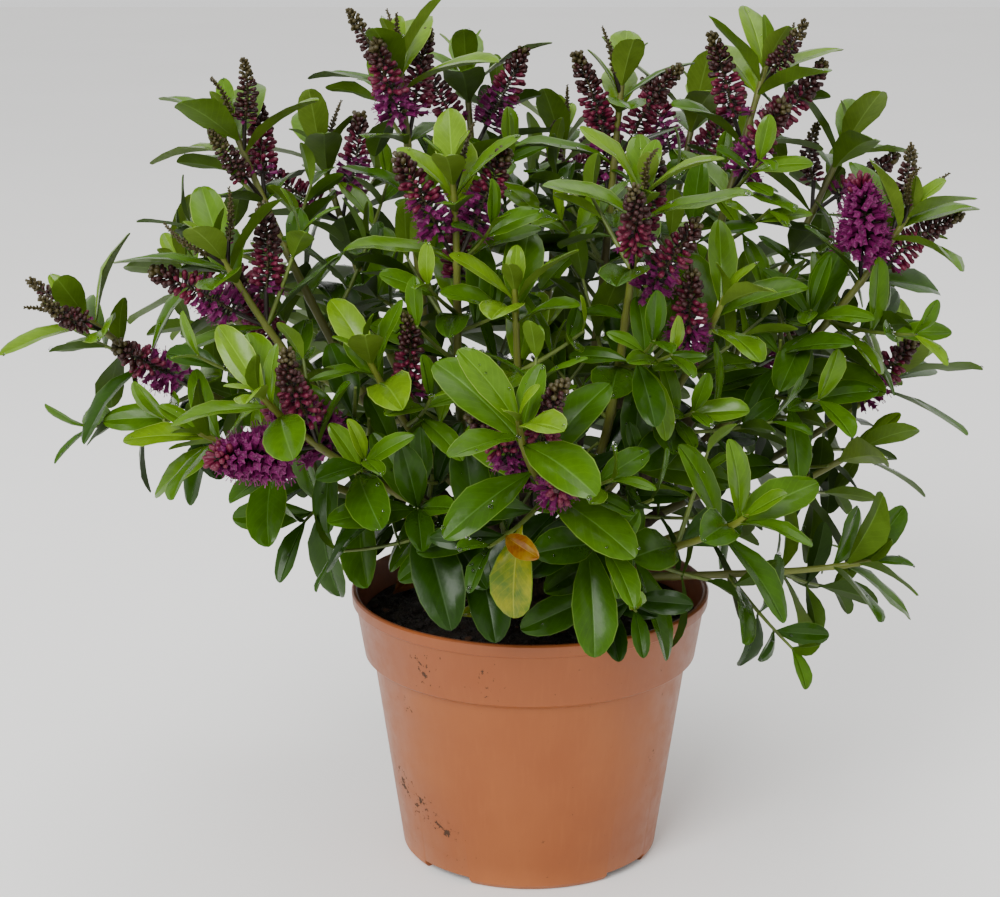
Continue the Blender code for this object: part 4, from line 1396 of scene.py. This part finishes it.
def bladeMaterial(name, code, roughness, patch, second=None, shine=0.2):
    # living leaf skin: waxy and smooth, a little uneven in colour, with a pale midrib and the
    # faint side veins that leave it. The blade attribute holds the place across and along.
    made, tree = startMaterial(name, Roughness=roughness, IOR=1.45, Specular_IOR_Level=shine)
    base = linearColour(code)
    darker, veinPale = [(*[c * k for c in base[:3]], 1) for k in (0.62, 1.5)]
    ribPale = (*[min(1, c * 1.7 + 0.03) for c in base[:3]], 1)
    place = addNode(tree, "TexCoord", out="Object")
    clouds = addNode(
        tree, "TexNoise", {"Vector": place, "Scale": 1 / patch, "Detail": 4, "Roughness": 0.6}
    )
    stops = ((0.36, 0.0), (0.6 if second else 0.75, 0.85))
    share = addNode(tree, "ValToRGB", {0: clouds}, stops=stops)
    colour = addNode(tree, "Mix", {0: share, 6: base, 7: second or darker}, 2, data_type="RGBA")
    marks = addNode(tree, "Attribute", out="Vector", attribute_name="blade")
    signed = addNode(tree, "SeparateXYZ", {0: marks}, "X")
    along = signed.node.outputs["Y"]
    across = addNode(tree, "Math", {0: signed}, operation="ABSOLUTE")
    slope = addNode(tree, "Math", {0: across, 1: -17.0}, operation="MULTIPLY")
    wave = addNode(tree, "Math", {0: along, 1: 66.0, 2: slope}, operation="MULTIPLY_ADD")
    wave = addNode(tree, "Math", {0: wave}, operation="SINE")
    veins = addNode(tree, "ValToRGB", {0: wave}, stops=((0.8, 0.0), (1.0, 0.2)))
    colour = addNode(tree, "Mix", {0: veins, 6: colour, 7: veinPale}, 2, data_type="RGBA")
    rib = addNode(tree, "ValToRGB", {0: across}, stops=((0.015, 0.45), (0.06, 0.0)))
    colour = addNode(tree, "Mix", {0: rib, 6: colour, 7: ribPale}, 2, data_type="RGBA")
    grain = addNode(
        tree, "TexNoise", {"Vector": place, "Scale": 1 / (2.5 * mm), "Detail": 3, "Roughness": 0.55}
    )
    relief = addNode(tree, "Bump", {"Height": grain, "Distance": 0.14 * mm, "Strength": 0.6})
    wire(tree, Base_Color=colour, Normal=relief)
    return made


def modelLeaf():
    # the section is a flat ring of eight points, extruded row by row from the stalk to the tip
    deselectAll()
    bpy.ops.mesh.primitive_circle_add(vertices=8, radius=1)
    leaf = bpy.context.object
    for vert, (across, height) in zip(leaf.data.vertices, leafSection):
        vert.co = (across, 0, height)
    editAll(leaf)
    rows = list(leafRows.items())
    bpy.ops.mesh.edge_face_add()
    bpy.ops.transform.resize(value=(rows[0][1], 1, 0.8), center_override=(0, 0, 0))
    for (before, wide), (row, half) in zip(rows, rows[1:]):
        bpy.ops.mesh.extrude_region_move(TRANSFORM_OT_translate={"value": (0, row - before, 0)})
        bpy.ops.transform.resize(value=(half / wide, 1, 1), center_override=(0, row, 0))
    bpy.ops.mesh.extrude_region_move(TRANSFORM_OT_translate={"value": (0, 1 - rows[-1][0], 0)})
    bpy.ops.mesh.merge(type="CENTER")
    faceOutwards()
    sortFaces(leaf)
    slots = []
    for face in leaf.data.polygons:
        middle = face.center
        half = np.interp(middle.y, list(leafRows), list(leafRows.values()))
        if face.normal.z < -0.02 or middle.z < -0.05:
            slots.append(2)
        else:
            slots.append(1 if abs(middle.x) > 0.9 * half and middle.y < 0.97 else 0)
    made = shapeOf(leaf, lambda middle: 0)
    wide = np.interp(made.points[:, 1], list(leafRows), list(leafRows.values()))
    side = np.round(made.points[:, 0] / wide, 2)
    return LeafShape(made.points, made.faces, np.array(slots), side, wide)


def placedLeaf(shape, leaf, draw):
    # bends the straight modelled leaf along the grown one's arch, folded along its midrib
    x, t, z = shape.points.T
    bend = leaf.arch * t
    out, face = np.array(leaf.out), np.array(leaf.face)
    across = np.cross(out, face)
    reach, drop = np.sin(bend) / leaf.arch, (1 - np.cos(bend)) / leaf.arch
    centre = np.array(leaf.root) + (np.outer(reach, out) - np.outer(drop, face)) * leaf.length
    normal = np.outer(np.cos(bend), face) + np.outer(np.sin(bend), out)
    pointed = 1 - draw.uniform(0, leafSizes["pointed"]) * np.maximum(0, t - 0.4)
    half = leaf.width / 2 * leafSizes["narrowed"] * x * pointed
    fold = leafSizes["fold"] * draw.uniform(0.6, 1.7)
    wave = draw.uniform(0.3, 1.5) * mm * leaf.length / leafSizes["length"]
    phase = draw.uniform(0, 6.3)
    twist = math.radians(draw.uniform(-16, 16)) * t
    ripple = wave * np.abs(x) * np.sin(t * 9 + phase) + half * np.tan(twist)
    swell = leafSizes["swell"] * leaf.width / 2 * np.where((np.abs(shape.side) == 0.5), shape.wide, 0)
    lift = np.abs(half) * math.sin(fold) * (1 - 0.35 * t) + z * leafSizes["blade"] + ripple + swell
    return centre + np.outer(half * math.cos(fold), across) + normal * lift[:, None]


def toneOf(age, height, draw):
    # young at the tips and darker with age, and darker still low inside the bush, which is painted shade
    ladder = next(tones for limit, tones in toneLadders.items() if age < limit)
    step = list(leafTones).index(draw.choice(ladder))
    # leaves low in the bush step to darker tones: painted shade under the crown
    for low in (0.23, 0.19):
        if height < low and draw.random() < 0.6:
            step += 1
    return min(step, list(leafTones).index("old"))


ageing = {  # the leaf whose middle is nearest the spot, in millimetres, has turned
    "yellow": Vector((-8, -139, 182)),
    "turning": Vector((-6, -157, 200)),
}


def looseLeaf(root, out, face, length, width, arch):
    out = Vector(out).normalized()
    face = (Vector(face) - out * Vector(face).dot(out)).normalized()
    return Leaf(Vector(root) * mm, out, face, length * mm, width * mm, math.radians(arch), False)


looseLeaves = {  # root in millimetres, direction, face, length, width, arch in degrees, tone
    "onSoil": ((-38, -17, 121.5), (0.95, -0.45, 0.06), (0.1, -0.3, 1), 30, 15, -35, "yellow"),
    "curled": ((3, -33, 120.5), (0.9, -0.3, 0.1), (0, -0.4, 1), 14, 6, -60, "yellow"),
    "brown": ((-66, 18, 119.5), (0.5, 0.8, 0.1), (0.2, -0.6, 1), 30, 14, -50, "spent"),
    "rotted": ((-42, 2, 121), (0.9, 0.5, 0.05), (0, -0.3, 1), 26, 12, -55, "spent"),
    "rightBrown": ((38, 4, 121), (0.7, -0.7, 0.05), (0, -0.3, 1), 25, 11, -45, "spent"),
}

dropSizes = {
    "radius": (0.35 * mm, 1.4 * mm),
    "flat": 0.55,
    "raised": 0.3,  # its middle above the leaf, in radii
    "perLeaf": (0, 0, 0, 1, 2, 4, 7),
}


def modelDrop():
    deselectAll()
    bpy.ops.mesh.primitive_uv_sphere_add(segments=8, ring_count=5, radius=1)
    return shapeOf(bpy.context.object, lambda middle: 0)


def dropsOn(points, shape, draw):
    # beads of water left standing on the upper side of a leaf
    made = []
    tops = [face for face, slot in zip(shape.faces, shape.slots) if slot == 0 and len(face) == 4]
    for _ in range(draw.choice(dropSizes["perLeaf"])):
        a, b, c, d = points[list(draw.choice(tops))]
        u, v = draw.random(), draw.random()
        spot = (a * (1 - u) + b * u) * (1 - v) + (d * (1 - u) + c * u) * v
        normal = Vector(np.cross(b - a, d - a)).normalized()
        if normal.z > 0.25:
            size = mix(*dropSizes["radius"], draw.random() ** 2.5)
            made.append((spot, normal, size))
    return made


def makeDrops(drops):
    # rainwater: clear and quite smooth, so each bead holds a small highlight
    shape = modelDrop()
    water = startMaterial("clearRainwater", Roughness=0.0, IOR=1.333, Transmission_Weight=1.0)[0]
    copies = []
    for spot, normal, size in drops:
        turn = np.array(turnedTo(normal, 0))
        placed = (shape.points * (1, 1, dropSizes["flat"])) @ turn.T * size
        copies.append((placed + spot + np.array(normal) * size * dropSizes["raised"], 0))
    piece = joinCopies("waterDrops", shape, copies, [water], 80)
    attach(piece, "root")
    print("waterDrops", len(copies))


def makeLeaves(grown):
    draw = random.Random(57)
    shape = modelLeaf()
    materials = []
    for name, (blade, margin, back) in leafTones.items():
        second, shine = seconds.get(name), 0.25 if name in sunlit else 0.17
        materials += [
            bladeMaterial(f"waxyLeaf_{name}", blade, 0.27, 9 * mm, second, shine),
            bladeMaterial(f"leafMargin_{name}", margin, 0.45, 11 * mm),
            bladeMaterial(f"leafBack_{name}", back, 0.55, 11 * mm),
        ]
    tones = list(leafTones)
    living = []
    for limb in grown.values():
        living += [("crownLeaves", leaf, pair) for leaf, pair in limb["leaves"]]
        for kind, older in (("shoots", 3), ("extra", 5)):
            for _, leaves in limb[kind]:
                living += [("shootLeaves", leaf, older + step) for leaf, step in leaves]
    middles = [leafPoint(leaf, 0.5)[0] for _, leaf, _ in living]
    turned = {}
    for tone, spot in ageing.items():
        nearest = min(range(len(middles)), key=lambda i: (middles[i] - spot * mm).length)
        turned[nearest] = tones.index(tone)
    groups = {"crownLeaves": [], "shootLeaves": [], "looseLeaves": []}
    for i, (name, leaf, age) in enumerate(living):
        tone = turned.get(i, toneOf(age, middles[i].z, draw))
        if turned.get(i) == tones.index("yellow"):  # broad, so that it shows
            leaf = leaf._replace(width=leaf.width * 1.3)
        groups[name].append((placedLeaf(shape, leaf, draw), tone * 3))
    for *place, tone in looseLeaves.values():
        placed = placedLeaf(shape, looseLeaf(*place), draw)
        groups["looseLeaves"].append((placed, tones.index(tone) * 3))
    wet = []
    marks = np.column_stack([shape.side, shape.points[:, 1], np.zeros(len(shape.side))])
    foliage = [f"foliage_{name}" for name in leaders]
    for name, copies in groups.items():
        piece = joinCopies(name, shape, copies, materials, 30, marks)
        if name != "looseLeaves":
            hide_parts(*foliage)
        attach(piece, "root")
        print(name, len(copies), "leaves", len(piece.data.polygons), "faces")
        for placed, _ in copies:
            wet += dropsOn(placed, shape, draw)
    makeDrops(wet)


# Flower spikes: buds and flowers set spirally round a thin axis, opening from the base up

flowerSizes = {
    "turn": math.radians(137.5),
    "axis": (0.9 * mm, 0.35 * mm),
    "axisSteps": 9,
    "peduncle": 1.05 * mm,
    "kinds": {  # see FloretPlan
        "young": (56, (3.2, 1.7), 0.0, 0.0, 0.0),
        "bud": (76, (7.2, 3.4), 0.0, 0.1, 0.66),
        "colouring": (102, (10, 4.8), 0.05, 0.5, 0.86),
        "opening": (96, (12.5, 5.6), 0.42, 0.7, 0.92),
        "bloom": (150, (16.5, 9.5), 0.86, 1.1, 1.2),
    },
    "colours": {
        "stalk": "#1c140a",
        "tip": "#3c3414",
        "maroon": "#300e0d",
        "crimson": "#570526",
        "violet": "#66084c",
        "pale": "#7e1868",
    },
    "bud": ((0.05, 0.32), (0.10, 0.42), (0.13, 0.66), (0.15, 0.88), (0.07, 0.98)),  # radius, height
    "flower": ((0.035, 0.25), (0.075, 0.34), (0.08, 0.58), (0.155, 0.72)),
}

# how many florets, their length in millimetres at the base and the tip, and how far up the spike
# they are open, crimson and maroon
FloretPlan = namedtuple("FloretPlan", "count lengths open crimson maroon")


def floretStart(radius, sides):
    deselectAll()
    bpy.ops.mesh.primitive_circle_add(vertices=sides, radius=radius, fill_type="NGON")
    editAll(bpy.context.object)
    return bpy.context.object


def modelBud():
    # a club-shaped bud on its short stalk, one unit long, pointing up
    bud = floretStart(0.045, 5)
    extrudeRings(flowerSizes["bud"], 0.045, 0.0)
    faceOutwards()
    return shapeOf(bud, lambda middle: 0 if middle[2] < 0.4 else 1)


def modelFlower():
    # a tube that flares into four lobes, with two stamens standing out of it
    flower = floretStart(0.03, 8)
    extrudeRings(flowerSizes["flower"], 0.03, 0.0)
    mouth = flowerSizes["flower"][-1][1]
    bpy.ops.mesh.extrude_region_move(TRANSFORM_OT_translate={"value": (0, 0, 0)})
    bpy.ops.transform.resize(value=(0.3, 0.3, 1), center_override=(0, 0, mouth))
    bpy.ops.transform.translate(value=(0, 0, -0.1))
    bpy.ops.object.mode_set(mode="OBJECT")
    for vert in flower.data.vertices:  # every other point of the rim is drawn in between the lobes
        heading = math.degrees(math.atan2(vert.co.y, vert.co.x)) % 90
        if vert.co.xy.length > 0.12 and 20 < heading < 70:
            vert.co.xy *= 0.66
            vert.co.z -= 0.05
    for side in (-1, 1):
        bpy.ops.mesh.primitive_cone_add(
            vertices=3, radius1=0.007, radius2=0.018, depth=0.22, location=(side * 0.06, 0, 0.76),
            rotation=(0, side * 0.35, 0),
        )
        bpy.context.object.select_set(True)
        flower.select_set(True)
        bpy.context.view_layer.objects.active = flower
        bpy.ops.object.join()
    editAll(flower)
    faceOutwards()
    return shapeOf(flower, lambda middle: 0 if middle[2] < 0.3 else 2 if middle[2] > 0.78 else 1)


def petalMaterial(name, code):
    # thin petal and bud skin: soft and matt, blotched with its own darker shade
    made, tree = startMaterial(name, Roughness=0.5, IOR=1.4)
    base = linearColour(code)
    darker = (*[c * 0.6 for c in base[:3]], 1)
    place = addNode(tree, "TexCoord", out="Object")
    blotches = addNode(
        tree, "TexNoise", {"Vector": place, "Scale": 1 / (5 * mm), "Detail": 3, "Roughness": 0.55}
    )
    share = addNode(tree, "ValToRGB", {0: blotches}, stops=((0.35, 0.0), (0.75, 0.9)))
    colour = addNode(tree, "Mix", {0: share, 6: base, 7: darker}, 2, data_type="RGBA")
    wire(tree, Base_Color=colour)
    return made


def turnedTo(way, spin):
    return up.rotation_difference(way).to_matrix() @ Matrix.Rotation(spin, 3, "Z")


def addFlorets(axis, kind, draw, bud, flower, buds, flowers):
    # sets one spike's florets round its axis, into the lists of buds and of open flowers
    plan = FloretPlan(*flowerSizes["kinds"][kind])
    total = lengthsAlong(axis)[-1]
    for number in range(plan.count):
        s = (number + 0.5) / plan.count
        spot, way = placeOn(axis, total * s**0.93)
        angle = number * flowerSizes["turn"] + draw.uniform(-0.25, 0.25)
        lean = math.radians(mix(86, 34, s**2.4) + draw.uniform(-9, 9)) * (0.6 if kind == "young" else 1)
        out = leanedOut(way, angle, lean)
        length = mix(*plan.lengths, s**1.3) * mm * draw.uniform(0.88, 1.1)
        state = s + draw.uniform(-0.07, 0.07)
        turn = np.array(turnedTo(out, draw.uniform(0, 6.3)))
        if state < plan.open:
            flowers.append((flower.points @ turn.T * length * 1.05 + np.array(spot), 0))
            continue
        # the first slot and the fatness of a ripe, a maroon and a green bud
        first, fat = (0, 1.0) if state < plan.crimson else (2, 1.35) if state < plan.maroon else (4, 1.6)
        placed = (bud.points * (fat, fat, 1)) @ turn.T * length * 0.86 + np.array(spot)
        buds.append((placed, first))


def makeFlowers(grown):
    draw = random.Random(83)
    bud, flower = modelBud(), modelFlower()
    colours = flowerSizes["colours"].items()
    looks = {name: petalMaterial(f"hebeFloret_{name}", code) for name, code in colours}
    wide, thin = flowerSizes["axis"]
    last = flowerSizes["axisSteps"] - 1
    buds, flowers, stalks = [], [], []
    for limb in grown.values():
        for foot, spike, kind in limb["spikes"]:
            side = roundStem(spike.out, draw.uniform(0, 6.3)) * draw.uniform(0, 4) * mm
            end = spike.foot + spike.out * spike.length
            low = mix(foot, spike.foot, 0.5)
            peduncle = interpolate_bezier(foot, low, low, spike.foot + spike.out * 2 * mm, 6)
            axis = interpolate_bezier(
                spike.foot, mix(spike.foot, end, 0.4) + side, mix(spike.foot, end, 0.7) + side, end,
                last + 1,
            )
            addFlorets(axis, kind, draw, bud, flower, buds, flowers)
            stalks.append((*tube(peduncle, [flowerSizes["peduncle"]] * 6, 6), 0))
            stalks.append((*tube(axis, [mix(wide, thin, i / last) for i in range(last + 1)], 5), 1))
    stalk, tip = looks["stalk"], looks["tip"]
    budLooks = [stalk, looks["crimson"], stalk, looks["maroon"], tip, tip]
    pieces = [
        joinCopies("ripeBuds", bud, [each for each in buds if each[1] == 0], budLooks, 60),
        joinCopies("closedBuds", bud, [each for each in buds if each[1] > 0], budLooks, 60),
        joinCopies("openFlowers", flower, flowers, [stalk, looks["violet"], looks["pale"]], 40),
        joinTubes("flowerStalks", stalks, [stalk, tip]),
    ]
    for piece in pieces:
        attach(piece, "root")
        print(piece.name, len(piece.data.polygons), "faces")


# Floor, light and camera

stageSizes = {
    "floor": 9.0,
    "floorColours": ("#f6f5f3", "#e6e4e1"),
    "sky": 1.06,
    "lights": {  # place, size in metres and power in watts
        "keyLight": ((-0.85, -1.8, 1.5), 1.2, 70),
        "fillLight": ((1.5, -1.2, 0.9), 1.4, 3.5),
        "topLight": ((0.2, 0.4, 2.1), 1.2, 14),
    },
    "aim": (0, 0, 0.2),
    "camera": (-0.0143, -1.10, 0.5005),
    "pitch": 15.4,
    "lens": 87.5,
}


def floorMaterial():
    # matt studio paper, hardly uneven in tone
    made, tree = startMaterial("mattePaperFloor", Roughness=0.85)
    place = addNode(tree, "TexCoord", out="Object")
    clouds = addNode(
        tree, "TexNoise", {"Vector": place, "Scale": 2.5, "Detail": 3, "Roughness": 0.55}
    )
    share = addNode(tree, "ValToRGB", {0: clouds}, stops=((0.3, 0.0), (0.8, 0.25)))
    pale, grey = stageSizes["floorColours"]
    wire(tree, Base_Color=addNode(tree, "Mix", {0: share, 6: pale, 7: grey}, 2, data_type="RGBA"))
    return made


def makeStage():
    deselectAll()
    bpy.ops.mesh.primitive_plane_add(size=stageSizes["floor"])
    floor = bpy.context.object
    floor.name = "paleFloor"
    editAll(floor)
    bpy.ops.mesh.subdivide(number_cuts=8)
    bpy.ops.object.mode_set(mode="OBJECT")
    floor.data.materials.append(floorMaterial())
    world = bpy.data.worlds.new("studio")
    bpy.context.scene.world = world
    world.use_nodes = True
    sky = world.node_tree.nodes["Background"].inputs
    sky["Color"].default_value = (1, 1, 1, 1)
    sky["Strength"].default_value = stageSizes["sky"]
    for name, (place, size, power) in stageSizes["lights"].items():
        bpy.ops.object.light_add(type="AREA", location=place)
        lamp = bpy.context.object
        lamp.name = name
        lamp.data.size, lamp.data.energy = size, power
        aim = Vector(stageSizes["aim"]) - Vector(place)
        lamp.rotation_euler = aim.to_track_quat("-Z", "Y").to_euler()


def makeCamera():
    turn = (math.radians(90 - stageSizes["pitch"]), 0, 0)
    bpy.ops.object.camera_add(location=stageSizes["camera"], rotation=turn)
    camera = bpy.context.object
    camera.name = "camera"
    camera.data.lens = stageSizes["lens"]
    camera.data.sensor_width = 36
    camera.data.sensor_fit = "HORIZONTAL"
    camera.data.dof.use_dof = False
    bpy.context.scene.camera = camera


makeCamera()
makeStage()
makePot()
makeSoil()
makeCrumbs()
print("pot and soil done")
crown = growCrown()
print("crown grown")
makeBark(crown)
print("bark done")
makeStems(crown)
makeLeaves(crown)
makeFlowers(crown)
print("stems, leaves and flowers done")
